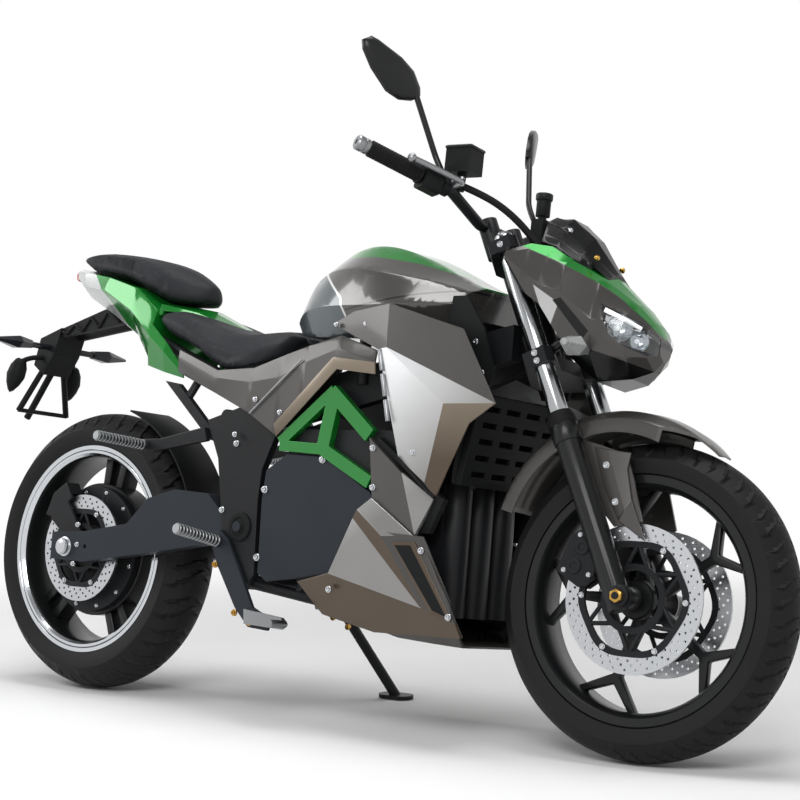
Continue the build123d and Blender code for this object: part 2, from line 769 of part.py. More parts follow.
stem_radius = HEAD_TUBE_BORE - SPIN_GAP
stem_low = fork_point(LOWER_CLAMP_AT, 0, -stem_back)
stem = rod(stem_low, fork_point(UPPER_CLAMP_AT + 20, 0, -stem_back), stem_radius)
fork_clamps = joined(
    clamp(LOWER_CLAMP_AT, LOWER_CLAMP_THICK), clamp(UPPER_CLAMP_AT, UPPER_CLAMP_THICK), stem,
    rod(fork_point(UPPER_CLAMP_AT, 0, -stem_back), fork_point(UPPER_CLAMP_AT + 24, 0, -stem_back), 20),
)
leg_foot = fork_point(-18, -FORK_HALF, -AXLE_LEAD)
leg_seal = fork_point(LEG_TOP, -FORK_HALF, -AXLE_LEAD)
stanchion_top = fork_point(STANCHION_TOP, -FORK_HALF, -AXLE_LEAD)
fork_tubes = pair(rod(leg_seal, stanchion_top, STANCHION_RADIUS))
axle_bore = rod(front_axle + Vector(0, -150, 0), front_axle + Vector(0, 150, 0), FRONT_AXLE_RADIUS)
leg_outside = nose(0, -FORK_HALF - LEG_RADIUS, 0)
leg_inside = nose(0, -FORK_HALF + LEG_RADIUS - 1, 0)
leg_shape = joined(
    rod(leg_foot, leg_seal, LEG_RADIUS),
    rod(leg_seal - fork_up * 34, leg_seal, LEG_RADIUS + 3),
    rod(leg_outside, leg_inside, 22),
)
fork_legs = pair(cut_by(leg_shape, axle_bore))

# Front calipers
with BuildPart() as front_caliper:
    with BuildSketch(wheel_plane(front_axle).offset(FRONT_DISC_FACE - DISC_THICK - PAD_GAP - 13)):
        with BuildLine():
            Polyline((-148, 40), (-100, 12), (-70, 34), (-66, 96), (-92, 124), (-124, 106), close=True)
        make_face()
    extrude(amount=DISC_THICK + 2 * PAD_GAP + 35)
    with BuildSketch(wheel_plane(front_axle).offset(FRONT_DISC_FACE - DISC_THICK - PAD_GAP)):
        Circle(FRONT_DISC_RADIUS + PAD_GAP)
    extrude(amount=DISC_THICK + 2 * PAD_GAP, mode=Mode.SUBTRACT)
    add(leg_shape, mode=Mode.SUBTRACT)
front_calipers = pair(front_caliper.part)

# Front fender: a shell about its own centre, above and behind the axle, with a plate down each leg
FENDER_CENTRE = (-55.5, 90.3)
FENDER_CLEARANCE = 10.0
FENDER_HALF = 78.0
FENDER_WALL = 3.0
FENDER_FRONT_DEG = 45.0
FENDER_SWEEP_DEG = 121.0
fender_tilt = radians(FENDER_FRONT_DEG)
fender_lead = FENDER_CENTRE[0] * sin(fender_tilt) + FENDER_CENTRE[1] * cos(fender_tilt)
fender_side = FENDER_CENTRE[0] * cos(fender_tilt) - FENDER_CENTRE[1] * sin(fender_tilt)
fender_reach = front_tyre_radius + FENDER_CLEARANCE
fender_radius = sqrt(fender_reach**2 - fender_side**2) - fender_lead
fender_cut = [(FENDER_HALF, -48), (FENDER_HALF - 2, -22), (FENDER_HALF - 30, -4), (0, 0)]
fender_right = [(-half, fender_radius + up) for half, up in fender_cut]
fender_left = [(half, fender_radius + up) for half, up in reversed(fender_cut[:-1])]
fender_under = [(half - FENDER_WALL, fender_radius + up - FENDER_WALL) for half, up in fender_cut[1:-1]]
fender_foot = (FENDER_HALF - FENDER_WALL, fender_radius + fender_cut[0][1])
fender_line = Axis(nose(FENDER_CENTRE[0], 0, FENDER_CENTRE[1]), (0, 1, 0))
with BuildPart() as fender_shell:
    with BuildSketch(section_plane(nose(FENDER_CENTRE[0], 0, FENDER_CENTRE[1]))):
        with BuildLine():
            Polyline(
                *fender_right, *fender_left, fender_foot, *fender_under, (0, fender_radius - FENDER_WALL),
                *[(-half, up) for half, up in reversed(fender_under)],
                (-fender_foot[0], fender_foot[1]), close=True,
            )
        make_face()
    revolve(axis=fender_line, revolution_arc=FENDER_SWEEP_DEG)
fender_arc = fender_shell.part.rotate(fender_line, FENDER_FRONT_DEG - FENDER_SWEEP_DEG)
tip_outline = nose_outline([(-46, 264), (150, 271), (150, 60), (-46, 60)])
under_tip = slab(tip_outline, -FENDER_HALF - 5, FENDER_HALF + 5)
with BuildPart() as tip_side:
    with BuildSketch(Plane.XY.offset(front_axle.Z + 200)):
        with BuildLine():
            Polyline(
                (front_axle.X + 20, -FENDER_HALF - 5), (front_axle.X + 150, -FENDER_HALF - 5),
                (front_axle.X + 150, -14), (front_axle.X + 20, -FENDER_HALF), close=True,
            )
        make_face()
    extrude(amount=150)
fender_plate = slab(
    nose_outline([(-140, 290), (-34, 263), (-16, 219), (8, 140), (-47, 128), (-84, 166), (-106, 220)]),
    FENDER_HALF - 5,
    FENDER_HALF,
)
front_fender = cut_by(
    joined(cut_by(fender_arc, under_tip, pair(tip_side.part)), pair(fender_plate)), pair(leg_shape)
)

# Handlebar and controls
bar_end = nose(-495, -348, 788)
bar_inner = nose(-403, -190, 743)
bar_low = nose(-394, -84, 700)
with BuildPart() as handlebar_tube:
    with BuildLine() as bar_path:
        FilletPolyline(
            bar_end, bar_inner, bar_low, (bar_low.X, -bar_low.Y, bar_low.Z),
            (bar_inner.X, -bar_inner.Y, bar_inner.Z), (bar_end.X, -bar_end.Y, bar_end.Z),
            radius=BAR_BEND_RADIUS,
        )
    with BuildSketch(Plane(bar_end, z_dir=bar_inner - bar_end)):
        Circle(BAR_RADIUS)
    sweep()
riser_ahead = -60
riser_base = UPPER_CLAMP_AT + UPPER_CLAMP_THICK / 2
riser = rod(fork_point(riser_base, -48, riser_ahead), fork_point(riser_base + 80, -48, riser_ahead), 20)
handlebar = joined(handlebar_tube.part, pair(riser))
grip_run = (bar_inner - bar_end).normalized()
grip_bore = rod(bar_end - grip_run * 40, bar_end + grip_run * 190, BAR_RADIUS)
grip_body = rod(bar_end + grip_run * 4, bar_end + grip_run * (4 + GRIP_LENGTH), GRIP_RADIUS)
grips = pair(cut_by(grip_body, grip_bore))
bar_ends = pair(rod(bar_end - grip_run * 26, bar_end, 15))
switch_from = bar_end + grip_run * (GRIP_LENGTH + 6)
with BuildPart() as switch_box:
    with BuildSketch(Plane(switch_from, x_dir=Vector(0, 0, 1).cross(grip_run), z_dir=grip_run)):
        RectangleRounded(44, 50, 12)
    extrude(amount=40)
reservoir_foot = bar_inner + Vector(4, 26, 4)
reservoir_seat = nose(-396, -165, 782)
stalk = rod(reservoir_foot, reservoir_seat, 9)
box_tank = block(reservoir_seat + Vector(-26, -25, -2), reservoir_seat + Vector(30, 25, 46))
round_right = rod(reservoir_seat - Vector(0, 0, 4), reservoir_seat + Vector(0, 0, 40), 15)
round_tank = mirror(round_right, about=Plane.XZ)
clamp_ring = rod(bar_end + grip_run * 166, bar_end + grip_run * 182, 17)
controls = cut_by(
    joined(pair(joined(switch_box.part, clamp_ring, stalk)), box_tank, round_tank),
    handlebar,
)
lever_root = bar_end + grip_run * 158 + Vector(46, 14, 4)
lever_tip = bar_end + grip_run * 16 + Vector(62, 34, -6)
levers = cut_by(
    pair(
        joined(
            rod(lever_root, lever_tip, 7),
            rod(lever_tip - Vector(0, 6, 0), lever_tip + Vector(0, 6, 0), 10),
            rod(bar_end + grip_run * 174 + Vector(14, 6, 4), lever_root, 8),
        )
    ),
    controls,
    handlebar,
)

# Mirrors: leaf-shaped shells toed in on bent stems
MIRROR_YAW = 26.0
MIRROR_HALF_THICK = 9.0
mirror_leaf = [
    (108, 86), (92, 96), (74, 92), (20, 71), (-10, 51), (-28, 22), (-30, 6), (-14, -6), (14, -10), (44, 0),
    (82, 36), (104, 68),
]
mirror_out = Vector(-sin(radians(MIRROR_YAW)), -cos(radians(MIRROR_YAW)), 0)
mirror_back = Vector(-cos(radians(MIRROR_YAW)), sin(radians(MIRROR_YAW)), 0)
mirror_joint = nose(-487, -248, 918)
mirror_foot = nose(-440, -182, 793)
mirror_root = nose(-402, -182, 739)
with BuildPart() as mirror_shell:
    with BuildSketch(Plane(mirror_joint, x_dir=mirror_out, z_dir=mirror_back)):
        with BuildLine():
            Polyline(*mirror_leaf, close=True)
        make_face()
    extrude(amount=MIRROR_HALF_THICK, both=True)
mirror_stem = rod(mirror_foot, mirror_joint + mirror_out * -20 + Vector(0, 0, 6), 6)
mirrors = cut_by(
    pair(joined(mirror_shell.part, mirror_stem, rod(mirror_root, mirror_foot, 9))), handlebar, controls
)

# Headlight cowl, lamps, visor, dash, signals
cowl_full = hull(
    [
        (-186, [(80, 453), (112, 476), (120, 558), (105, 614), (82, 629), (20, 634)]),
        (-118, [(60, 398), (100, 443), (114, 508), (88, 580), (58, 592), (15, 605)]),
        (-58, [(35, 408), (80, 443), (97, 498), (58, 537), (30, 548), (10, 551)]),
        (-26, [(12, 426), (45, 448), (62, 490), (38, 508), (20, 514), (8, 516)]),
        (-12, [(6, 446), (20, 456), (30, 476), (20, 484), (10, 487), (4, 488)]),
    ],
    origin=front_axle,
)
lamp_region = slab(
    nose_outline([(-107, 539), (-33, 505), (-6, 480), (-6, 452), (-60, 463), (-85, 484)]), 24, 150
)
headlamps = pair(shared(cowl_full, lamp_region))
cowl_core = cut_by(cowl_full, pair(lamp_region))
cowl_wing = skin(
    [
        (-305, [(126, 638), (127, 634), (129, 628), (128, 620)]),
        (-263, [(104, 656), (112, 644), (130, 598), (130, 561)]),
        (-223, [(90, 652), (108, 628), (128, 568), (124, 534)]),
        (-182, [(81, 628), (104, 612), (119, 556), (112, 474)]),
    ],
    PANEL_WALL,
    origin=front_axle,
)
cowl_bracket = rod(fork_point(LOWER_CLAMP_AT + 8, -94), nose(-172, -92, 478), 9)
headlight_cowl = cut_by(joined(cowl_core, pair(joined(cowl_wing, cowl_bracket))), fork_clamps, fork_tubes)
visor_cuts = [
    (-248, [(92, 663), (72, 706), (40, 722)]),
    (-216, [(86, 646), (66, 693), (30, 720)]),
    (-172, [(76, 622), (52, 653), (20, 684)]),
    (-118, [(52, 594), (30, 603), (8, 612)]),
]
VISOR_WALL = 5
visor_inside = [
    (ahead - VISOR_WALL, [(half - VISOR_WALL, up - VISOR_WALL) for half, up in cut])
    for ahead, cut in visor_cuts
]
visor = cut_by(hull(visor_cuts, origin=front_axle), hull(visor_inside, origin=front_axle), headlight_cowl)
dash_face = joined(
    block(nose(-290, -66, 658), nose(-264, 66, 714)),
    rod(nose(-268, 0, 664), nose(-176, 0, 600), 14),
)
dash = cut_by(dash_face, cowl_full, visor)
front_signal_root = nose(-126, 0, 450)
front_signal = joined(
    signal(front_signal_root, [(112, 13, 10), (150, 26, 18), (192, 8, 6)]),
    rod(front_signal_root - Vector(0, 80, 0), front_signal_root - Vector(0, 116, 0), 8),
)
front_signals = pair(cut_by(front_signal, cowl_full))

# Wiring looms from the switches to the cowl: straight runs joined by the largest arcs that fit
LOOM_RADIUS = 7.0
loom_route = [
    nose(-390, -163, 756), nose(-352, -138, 742), nose(-306, -110, 710), nose(-268, -82, 666),
    nose(-230, -72, 618), nose(-184, -72, 592),
]


def bend_radii(route):
    """Radius at each inner point of a route: 0.45 of the shorter run over the half turn's tangent."""
    radii = []
    for before, at, after in zip(route, route[1:], route[2:]):
        turn = (at - before).get_angle(after - at)
        shorter = min((at - before).length, (after - at).length)
        radii.append(0.45 * shorter / tan(radians(turn / 2)))
    return radii


print("loom bend radii", [round(radius) for radius in bend_radii(loom_route)])
with BuildPart() as loom:
    with BuildLine():
        FilletPolyline(*loom_route, radius=bend_radii(loom_route))
    with BuildSketch(Plane(loom_route[0], z_dir=loom_route[1] - loom_route[0])):
        Circle(LOOM_RADIUS)
    sweep()
loom_right = cut_by(loom.part, controls, handlebar, headlight_cowl)
loom_left = cut_by(mirror(loom.part, about=Plane.XZ), controls, handlebar, headlight_cowl)

# Which body each piece belongs to
chassis = {
    "main_frame": main_frame,
    "swingarm": swingarm,
    "battery_pack": battery_pack,
    "battery_covers": battery_covers,
    "trellis_inserts": trellis_inserts,
    "tank_cover": tank_cover,
    "tank_shrouds": tank_shrouds,
    "inner_panels": inner_panels,
    "air_guides": air_guides,
    "side_covers": side_covers,
    "belly_pan": belly_pan.part,
    "radiator_grille": radiator_grille.part,
    "front_housing": front_housing.part,
    "rider_seat": rider_seat,
    "pillion_seat": pillion_seat,
    "tail_body": tail_body,
    "tail_wings": tail_wings,
    "seat_hump": seat_hump,
    "tail_lamp": tail_lamp,
    "plate_hanger": plate_hanger,
    "rear_signals": rear_signals,
    "rear_hugger": rear_hugger,
    "rear_shock": rear_shock,
    "foot_brackets": foot_brackets,
    "rider_pegs": rider_pegs,
    "brake_pedal": brake_pedal,
    "peg_hangers": peg_hangers,
    "passenger_pegs": passenger_pegs,
    "rear_axle": rear_axle_bar,
    "rear_caliper": rear_caliper.part,
}
front_end = {
    "fork_clamps": fork_clamps,
    "fork_tubes": fork_tubes,
    "fork_legs": fork_legs,
    "front_axle": front_axle_bar,
    "front_calipers": front_calipers,
    "front_fender": front_fender,
    "handlebar": handlebar,
    "grips": grips,
    "bar_ends": bar_ends,
    "controls": controls,
    "levers": levers,
    "mirrors": mirrors,
    "headlight_cowl": headlight_cowl,
    "headlamps": headlamps,
    "visor": visor,
    "dash": dash,
    "front_signals": front_signals,
    "loom_right": loom_right,
    "loom_left": loom_left,
}
front_wheel = {"front_tyre": front_tyre, "front_rim": front_rim.part, "front_discs": front_discs}
rear_wheel = {
    "rear_tyre": rear_tyre,
    "rear_rim": rear_rim.part,
    "hub_motor": hub_motor.part,
    "rear_disc": rear_disc,
}
stand = {"side_stand": side_stand}

# Turn the front end, lean the machine and set it down on the middle of its box
steer_line = Axis(steer_foot, fork_up)
lean_over = Location((0, 0, 0), (1, 0, 0), -LEAN_DEG)
leaned = {}
bodies = ((chassis, 0), (front_end, STEER_DEG), (front_wheel, STEER_DEG), (rear_wheel, 0), (stand, 0))
for group, turned in bodies:
    for name, piece in group.items():
        leaned[name] = piece.rotate(steer_line, turned).moved(lean_over)
whole_box = Compound([solid for piece in leaned.values() for solid in piece.solids()]).bounding_box()
set_down = Location((-whole_box.center().X, -whole_box.center().Y, -whole_box.min.Z))

os.makedirs("parts", exist_ok=True)
for name, piece in leaned.items():
    placed = piece.moved(set_down)
    placed.label = name
    export_step(placed, f"parts/{name}.step")
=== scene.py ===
"""Looks of an electric street motorcycle, parked leaning on its side stand.

New pieces are modelled in the machine's own frame, upright and straight ahead, in millimetres:
x runs forward from the rear axle, y to the rider's left, z up from the road. The stance read from
the joints then sets each piece down where the chassis or the turned front end really is.
"""

import json
import logging
import math
from dataclasses import dataclass, replace
from enum import Enum
from typing import Any, Iterable, Optional, Sequence

import bmesh
import bpy
from mathutils import Matrix, Vector

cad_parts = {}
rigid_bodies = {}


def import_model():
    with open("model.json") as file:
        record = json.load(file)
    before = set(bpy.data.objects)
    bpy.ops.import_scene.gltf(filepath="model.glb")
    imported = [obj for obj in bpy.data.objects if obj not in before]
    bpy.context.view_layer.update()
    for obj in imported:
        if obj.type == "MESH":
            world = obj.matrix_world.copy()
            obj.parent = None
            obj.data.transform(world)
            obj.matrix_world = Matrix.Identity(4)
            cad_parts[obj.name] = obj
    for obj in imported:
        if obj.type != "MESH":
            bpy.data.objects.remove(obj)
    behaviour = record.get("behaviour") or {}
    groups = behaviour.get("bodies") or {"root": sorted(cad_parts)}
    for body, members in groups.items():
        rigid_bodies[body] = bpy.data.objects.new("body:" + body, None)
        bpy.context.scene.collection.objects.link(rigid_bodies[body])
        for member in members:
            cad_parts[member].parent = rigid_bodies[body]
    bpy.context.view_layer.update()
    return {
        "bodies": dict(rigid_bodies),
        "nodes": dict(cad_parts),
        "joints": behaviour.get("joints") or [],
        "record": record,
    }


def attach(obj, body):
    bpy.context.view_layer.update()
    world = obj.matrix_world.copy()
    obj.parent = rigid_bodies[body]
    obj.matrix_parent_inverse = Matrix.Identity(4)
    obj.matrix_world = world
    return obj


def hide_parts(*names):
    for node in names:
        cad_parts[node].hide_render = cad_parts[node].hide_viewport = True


LOG = logging.getLogger("motorcycle")
MM = 0.001
REAR_AXLE = Vector((0.0, 0.0, 312.74))
FRONT_AXLE = Vector((1448.0, 0.0, 292.44))
RAKE = math.radians(25.0)
FORK_UP = Vector((-math.sin(RAKE), 0.0, math.cos(RAKE)))
FORK_AHEAD = Vector((math.cos(RAKE), 0.0, math.sin(RAKE)))
BAR_END = Vector((953.0, -348.0, 1080.44))
GRIP_RUN = (Vector((1045.0, -190.0, 1035.44)) - BAR_END).normalized()
RIGHT = Vector((0.0, -1.0, 0.0))
# Profile of a cap screw's head, along its axis and outwards, for a flange of radius 1
SCREW_HEAD = (
    (-0.3, 1.0), (0.2, 1.0), (0.34, 0.9), (0.36, 0.74), (0.7, 0.7), (0.74, 0.44), (0.4, 0.4), (0.4, 0.0),
)
Point = Sequence[float]
Place = tuple[float, float, float]
Groove = tuple[float, float, float, float, float]
Outline = tuple[tuple[float, float], ...]
Corners = tuple[tuple[str, Place], ...]
Facets = tuple[tuple[str, int], ...]


class Body(Enum):
    """The bodies of the machine that move against each other."""

    CHASSIS = "chassis"
    FRONT = "front_end"
    FRONT_WHEEL = "front_wheel"
    REAR_WHEEL = "rear_wheel"

    @property
    def steered(self) -> bool:
        """Whether the body turns with the bars."""
        return self in (Body.FRONT, Body.FRONT_WHEEL)


@dataclass(frozen=True)
class Stance:
    """Where the parked machine stands.

    Args:
        chassis: matrix from upright millimetres to the frame's metres for what the chassis carries.
        front: the same for what turns with the bars.
    """

    chassis: Matrix
    front: Matrix

    @classmethod
    def read(cls, joints: Iterable[dict]) -> "Stance":
        """Work the stance out of the joints.

        Args:
            joints: the frame's joints, with their places and axes at rest.

        Returns:
            The stance at rest.
        """
        found = {joint["name"]: joint for joint in joints}
        rear, steering = found["rear_wheel_spin"], found["steering"]
        left, ahead = Vector(rear["axis"]), Vector((1.0, 0.0, 0.0))
        turn = Matrix((ahead, left, ahead.cross(left))).transposed().to_4x4()
        scale = Matrix.Scale(MM, 4) @ Matrix.Translation(-REAR_AXLE)
        chassis = Matrix.Translation(rear["pos_m"]) @ turn @ scale
        pivot = Vector(steering["pos_m"])
        middle = math.radians(sum(steering["range_deg"]) / 2)
        bars = Matrix.Rotation(-middle, 4, Vector(steering["axis"]))
        return cls(chassis, Matrix.Translation(pivot) @ bars @ Matrix.Translation(-pivot) @ chassis)

    def of(self, body: Body) -> Matrix:
        """The matrix that sets down a piece of the given body."""
        return self.front if body.steered else self.chassis


def linear(code: str) -> tuple[float, float, float, float]:
    """Turn an sRGB hex colour into linear light.

    Args:
        code: colour such as "#808080".

    Returns:
        Red, green, blue and an alpha of 1.
    """
    parts = [int(code[i : i + 2], 16) / 255 for i in (1, 3, 5)]
    lit = [part / 12.92 if part <= 0.04045 else ((part + 0.055) / 1.055) ** 2.4 for part in parts]
    return (lit[0], lit[1], lit[2], 1.0)


def add_node(
    tree: bpy.types.NodeTree, kind: str, inputs: Optional[dict] = None, **settings: Any
) -> bpy.types.Node:
    """Add a node with its settings, values and links.

    Args:
        tree: node tree that takes the node.
        kind: Blender's name of the node type.
        inputs: value or linked socket for each input, by name or number.
        settings: the node's own properties.

    Returns:
        The new node.
    """
    made = tree.nodes.new(kind)
    for name, value in settings.items():
        setattr(made, name, value)
    for key, value in (inputs or {}).items():
        if isinstance(value, bpy.types.NodeSocket):
            tree.links.new(value, made.inputs[key])
        else:
            made.inputs[key].default_value = value
    return made


def fresh_tree(owner: Any) -> bpy.types.NodeTree:
    """Switch nodes on and clear them.

    Args:
        owner: a material or a world.

    Returns:
        The empty node tree.
    """
    owner.use_nodes = True
    owner.node_tree.nodes.clear()
    return owner.node_tree


def link(piece: bpy.types.Object) -> None:
    """Put an object in the scene."""
    bpy.context.scene.collection.objects.link(piece)


@dataclass(frozen=True)
class Cut:
    """Half space of the machine's frame: what lies beyond a plane.

    Args:
        through: a point of the plane, in millimetres.
        facing: direction of the side that is kept.
        soft: width of the edge in millimetres.
    """

    through: Place
    facing: Place
    soft: float = 0.6


@dataclass(frozen=True)
class Patch:
    """Area of another colour on a painted piece, alike on both sides, where all its cuts hold."""

    colour: str
    cuts: tuple[Cut, ...]

    @classmethod
    def beside(cls, colour: str, *line: tuple[float, float]) -> "Patch":
        """Colour what lies to the right of a line in side view, where forward is to the right.

        Args:
            colour: sRGB hex colour.
            line: (x, z) points of the line, bending to the right.

        Returns:
            The patch.
        """
        cuts = [Cut((x, 0.0, z), (v - z, 0.0, x - u)) for (x, z), (u, v) in zip(line, line[1:])]
        return cls(colour, tuple(cuts))

    @classmethod
    def inside(cls, colour: str, *corners: tuple[float, float]) -> "Patch":
        """Colour a convex area whose corners go clockwise in side view."""
        return cls.beside(colour, *corners, corners[0])

    def share(self, tree: bpy.types.NodeTree, folded: bpy.types.NodeSocket) -> Any:
        """Work out how much of the patch shows at a point: 1 where all its cuts hold.

        Args:
            tree: the material's nodes.
            folded: coordinates in the machine's millimetres, with both sides laid on one.

        Returns:
            The socket that gives the share.
        """
        share: Any = 1.0
        for cut in self.cuts:
            facing = Vector(cut.facing).normalized()
            at = Vector(cut.through).dot(facing)
            along = add_node(tree, "ShaderNodeVectorMath", {0: folded, 1: facing}, operation="DOT_PRODUCT")
            span = {"Value": along.outputs["Value"], "From Min": at - cut.soft, "From Max": at + cut.soft}
            edge = add_node(tree, "ShaderNodeMapRange", span).outputs[0]
            share = add_node(tree, "ShaderNodeMath", {0: share, 1: edge}, operation="MULTIPLY").outputs[0]
        return share


@dataclass(frozen=True)
class Finish:
    """A surface as it was made: colour, gloss, and the fine grain that breaks it up.

    Args:
        name: what the material is and how it was made.
        colour: sRGB hex colour.
        metallic: 1 for bare metal, less for flake in paint.
        roughness: spread of the gloss.
        coat: share of clear lacquer on top.
        grain_mm: size of the grain, drawn coarse enough to show.
        mottle: share by which the colour varies.
        relief_mm: height of the grain.
        streak: stretch of the grain along each axis.
        patches: areas of another colour.
        glow: light given off.
        clear: share of light let through.
        anisotropic: stretch of the gloss on turned metal.
        steered: whether the piece turns with the bars, for its patches.
        gloss: strength of the plain reflection; matt black plastics and rubber give little.
    """

    name: str
    colour: str
    metallic: float = 0.0
    roughness: float = 0.45
    coat: float = 0.0
    grain_mm: float = 2.0
    mottle: float = 0.12
    relief_mm: float = 0.0
    streak: Place = (1.0, 1.0, 1.0)
    patches: tuple[Patch, ...] = ()
    glow: float = 0.0
    clear: float = 0.0
    anisotropic: float = 0.0
    steered: bool = False
    gloss: float = 0.3

    def material(self, stance: Stance) -> bpy.types.Material:
        """Build the material, or find it if it was built before.

        Args:
            stance: gives the machine's own coordinates to the pattern.

        Returns:
            The node material.
        """
        known = bpy.data.materials.get(self.name)
        if known:
            return known
        made = bpy.data.materials.new(self.name)
        tree = fresh_tree(made)
        place = self.machine_place(tree, stance)
        scale = [stretch / self.grain_mm for stretch in self.streak]
        grain = add_node(tree, "ShaderNodeMapping", {"Vector": place, "Scale": scale})
        fine = add_node(tree, "ShaderNodeTexNoise", {"Vector": grain.outputs[0], "Scale": 1.0, "Detail": 4.0})
        broad = add_node(tree, "ShaderNodeTexNoise", {"Vector": place, "Scale": 0.008, "Detail": 2.0})
        both = add_node(tree, "ShaderNodeMath", {0: fine.outputs["Fac"], 1: broad.outputs["Fac"]})
        span = {"Value": both.outputs[0], "From Min": 0.6, "From Max": 1.4}
        span.update({"To Min": 1 - self.mottle, "To Max": 1 + self.mottle})
        shade = add_node(tree, "ShaderNodeMapRange", span)
        tint = {0: self.patched(tree, place), "Scale": shade.outputs[0]}
        colour = add_node(tree, "ShaderNodeVectorMath", tint, operation="SCALE").outputs[0]
        span = {"Value": fine.outputs["Fac"], "From Min": 0.3, "From Max": 0.7}
        span.update({"To Min": self.roughness * 0.88, "To Max": min(1.0, self.roughness * 1.12)})
        values = {
            "Base Color": colour,
            "Roughness": add_node(tree, "ShaderNodeMapRange", span).outputs[0],
            "Metallic": self.metallic,
            "Specular IOR Level": self.gloss,
            "Coat Weight": self.coat,
            "Coat Roughness": 0.08,
            "Transmission Weight": self.clear,
            "Anisotropic": self.anisotropic,
            "Emission Strength": self.glow,
        }
        if self.glow:
            values["Emission Color"] = colour
        if self.relief_mm:
            relief = {"Strength": 0.6, "Distance": self.relief_mm * MM, "Height": fine.outputs["Fac"]}
            values["Normal"] = add_node(tree, "ShaderNodeBump", relief).outputs[0]
        shader = add_node(tree, "ShaderNodeBsdfPrincipled", values)
        add_node(tree, "ShaderNodeOutputMaterial", {"Surface": shader.outputs[0]})
        return made

    def machine_place(self, tree: bpy.types.NodeTree, stance: Stance) -> bpy.types.NodeSocket:
        """Coordinates in the machine's upright millimetres, from the object's own."""
        back = (stance.front if self.steered else stance.chassis).inverted()
        place = {"Location": back.to_translation(), "Rotation": back.to_euler(), "Scale": back.to_scale()}
        place["Vector"] = add_node(tree, "ShaderNodeTexCoord").outputs["Object"]
        return add_node(tree, "ShaderNodeMapping", place).outputs[0]

    def patched(self, tree: bpy.types.NodeTree, place: bpy.types.NodeSocket) -> Any:
        """Lay the patches over the base colour.

        Args:
            tree: the material's nodes.
            place: coordinates in the machine's millimetres.

        Returns:
            The base colour's value, or the colour socket where there are patches.
        """
        if not self.patches:
            return linear(self.colour)[:3]
        colour: Any = linear(self.colour)
        split = add_node(tree, "ShaderNodeSeparateXYZ", {0: place})
        width = add_node(tree, "ShaderNodeMath", {0: split.outputs["Y"]}, operation="ABSOLUTE")
        axes = {"X": split.outputs["X"], "Y": width.outputs[0], "Z": split.outputs["Z"]}
        folded = add_node(tree, "ShaderNodeCombineXYZ", axes).outputs[0]
        for patch in self.patches:
            mix = {"Factor": patch.share(tree, folded), 6: colour, 7: linear(patch.colour)}
            colour = add_node(tree, "ShaderNodeMix", mix, data_type="RGBA").outputs[2]
        return colour


PAINT_GREY, PAINT_PALE, PAINT_GREEN, PAINT_BLACK = "#4b4947", "#b8b9b8", "#107a26", "#0f1011"
# Lacquered metal-flake paint on moulded ABS: warm dark grey with a fine sparkle under a clear coat
GUNMETAL = Finish("flake_paint_gunmetal", PAINT_GREY, 0.55, 0.36, 0.3, 1.2, 0.1)
# The same paint with warm flake: bronze on the belly, fading to a light beige up on the shrouds
BRONZE_FLAKE = Finish(
    "flake_paint_bronze", "#52463a", 0.55, 0.36, 0.3, 1.2, 0.1,
    patches=(Patch("#857a6b", (Cut((0.0, 0.0, 600.0), (0.0, 0.0, 1.0), 70.0),)),),
)
# Painted highlight in flake paint: the bright facets' reflection painted in as colour, nearly white at the
# top of the shrouds, fading to mid grey down on the belly
PAINTED_HIGHLIGHT_FLAKE = Finish(
    "painted_highlight_flake", "#d8d9da", 0.45, 0.32, 0.3, 1.2, 0.08,
    patches=(Patch("#8b8a88", (Cut((1025.0, 0.0, 600.0), (0.6, 0.0, -0.8), 100.0),)),),
)
# Green candy paint over a bright base: deep in shade and vivid where it faces the light
CANDY_GREEN = Finish("candy_paint_green", PAINT_GREEN, 0.4, 0.22, 0.8, 1.2, 0.08)
# Tank in two paints: green along the top, grey below, with a pad edged in white at the knee
TANK_PAINT = replace(
    CANDY_GREEN,
    name="two_tone_tank_paint",
    patches=(
        Patch.beside(PAINT_GREY, (714, 948), (808, 944), (913, 928), (1004, 903), (1106, 850)),
        Patch.beside(PAINT_GREY, (705, 1100), (705, 0)),
        Patch.beside("#d4d6d6", (714, 893), (767, 855), (785, 821)),
        Patch.beside("#4b5356", (711, 889), (763, 852), (780, 820)),
        Patch.inside("#1d1e20", (786, 829), (1085, 871), (1085, 867), (786, 825)),
    ),
)
# Nose in two paints: green brow, grey cheeks with a pale facet and a dark intake, black jaw
NOSE_PAINT = replace(
    CANDY_GREEN,
    name="two_tone_nose_paint",
    coat=0.2,
    steered=True,
    patches=(
        Patch.beside(
            PAINT_GREY, (1181, 938), (1251, 911), (1331, 872), (1367, 848), (1418, 804), (1445, 770)
        ),
        Patch.inside(PAINT_PALE, (1211, 863), (1263, 830), (1246, 776)),
        Patch.inside(PAINT_BLACK, (1251, 835), (1267, 840), (1327, 778), (1314, 763)),
        Patch.beside(PAINT_BLACK, (1216, 820), (1256, 766)),
        Patch.beside(PAINT_BLACK, (1256, 766), (1372, 733)),
        Patch.inside("#26272a", (1341, 833), (1415, 799), (1440, 770), (1422, 742), (1388, 755), (1363, 776)),
    ),
)
# Mudguard: grey with a gloss black insert along its crown
FENDER_PAINT = replace(
    GUNMETAL,
    name="two_tone_fender_paint",
    steered=True,
    patches=(
        Patch(
            PAINT_BLACK,
            (
                Cut((0.0, 44.0, 0.0), (0.0, -1.0, 0.0)),
                Cut((1290.0, 0.0, 0.0), (1.0, 0.0, 0.3)),
                Cut((1446.0, 0.0, 600.0), (-1.0, 0.0, 0.4)),
                Cut((1300.0, 0.0, 560.0), (0.0, 0.0, 1.0)),
            ),
        ),
    ),
)
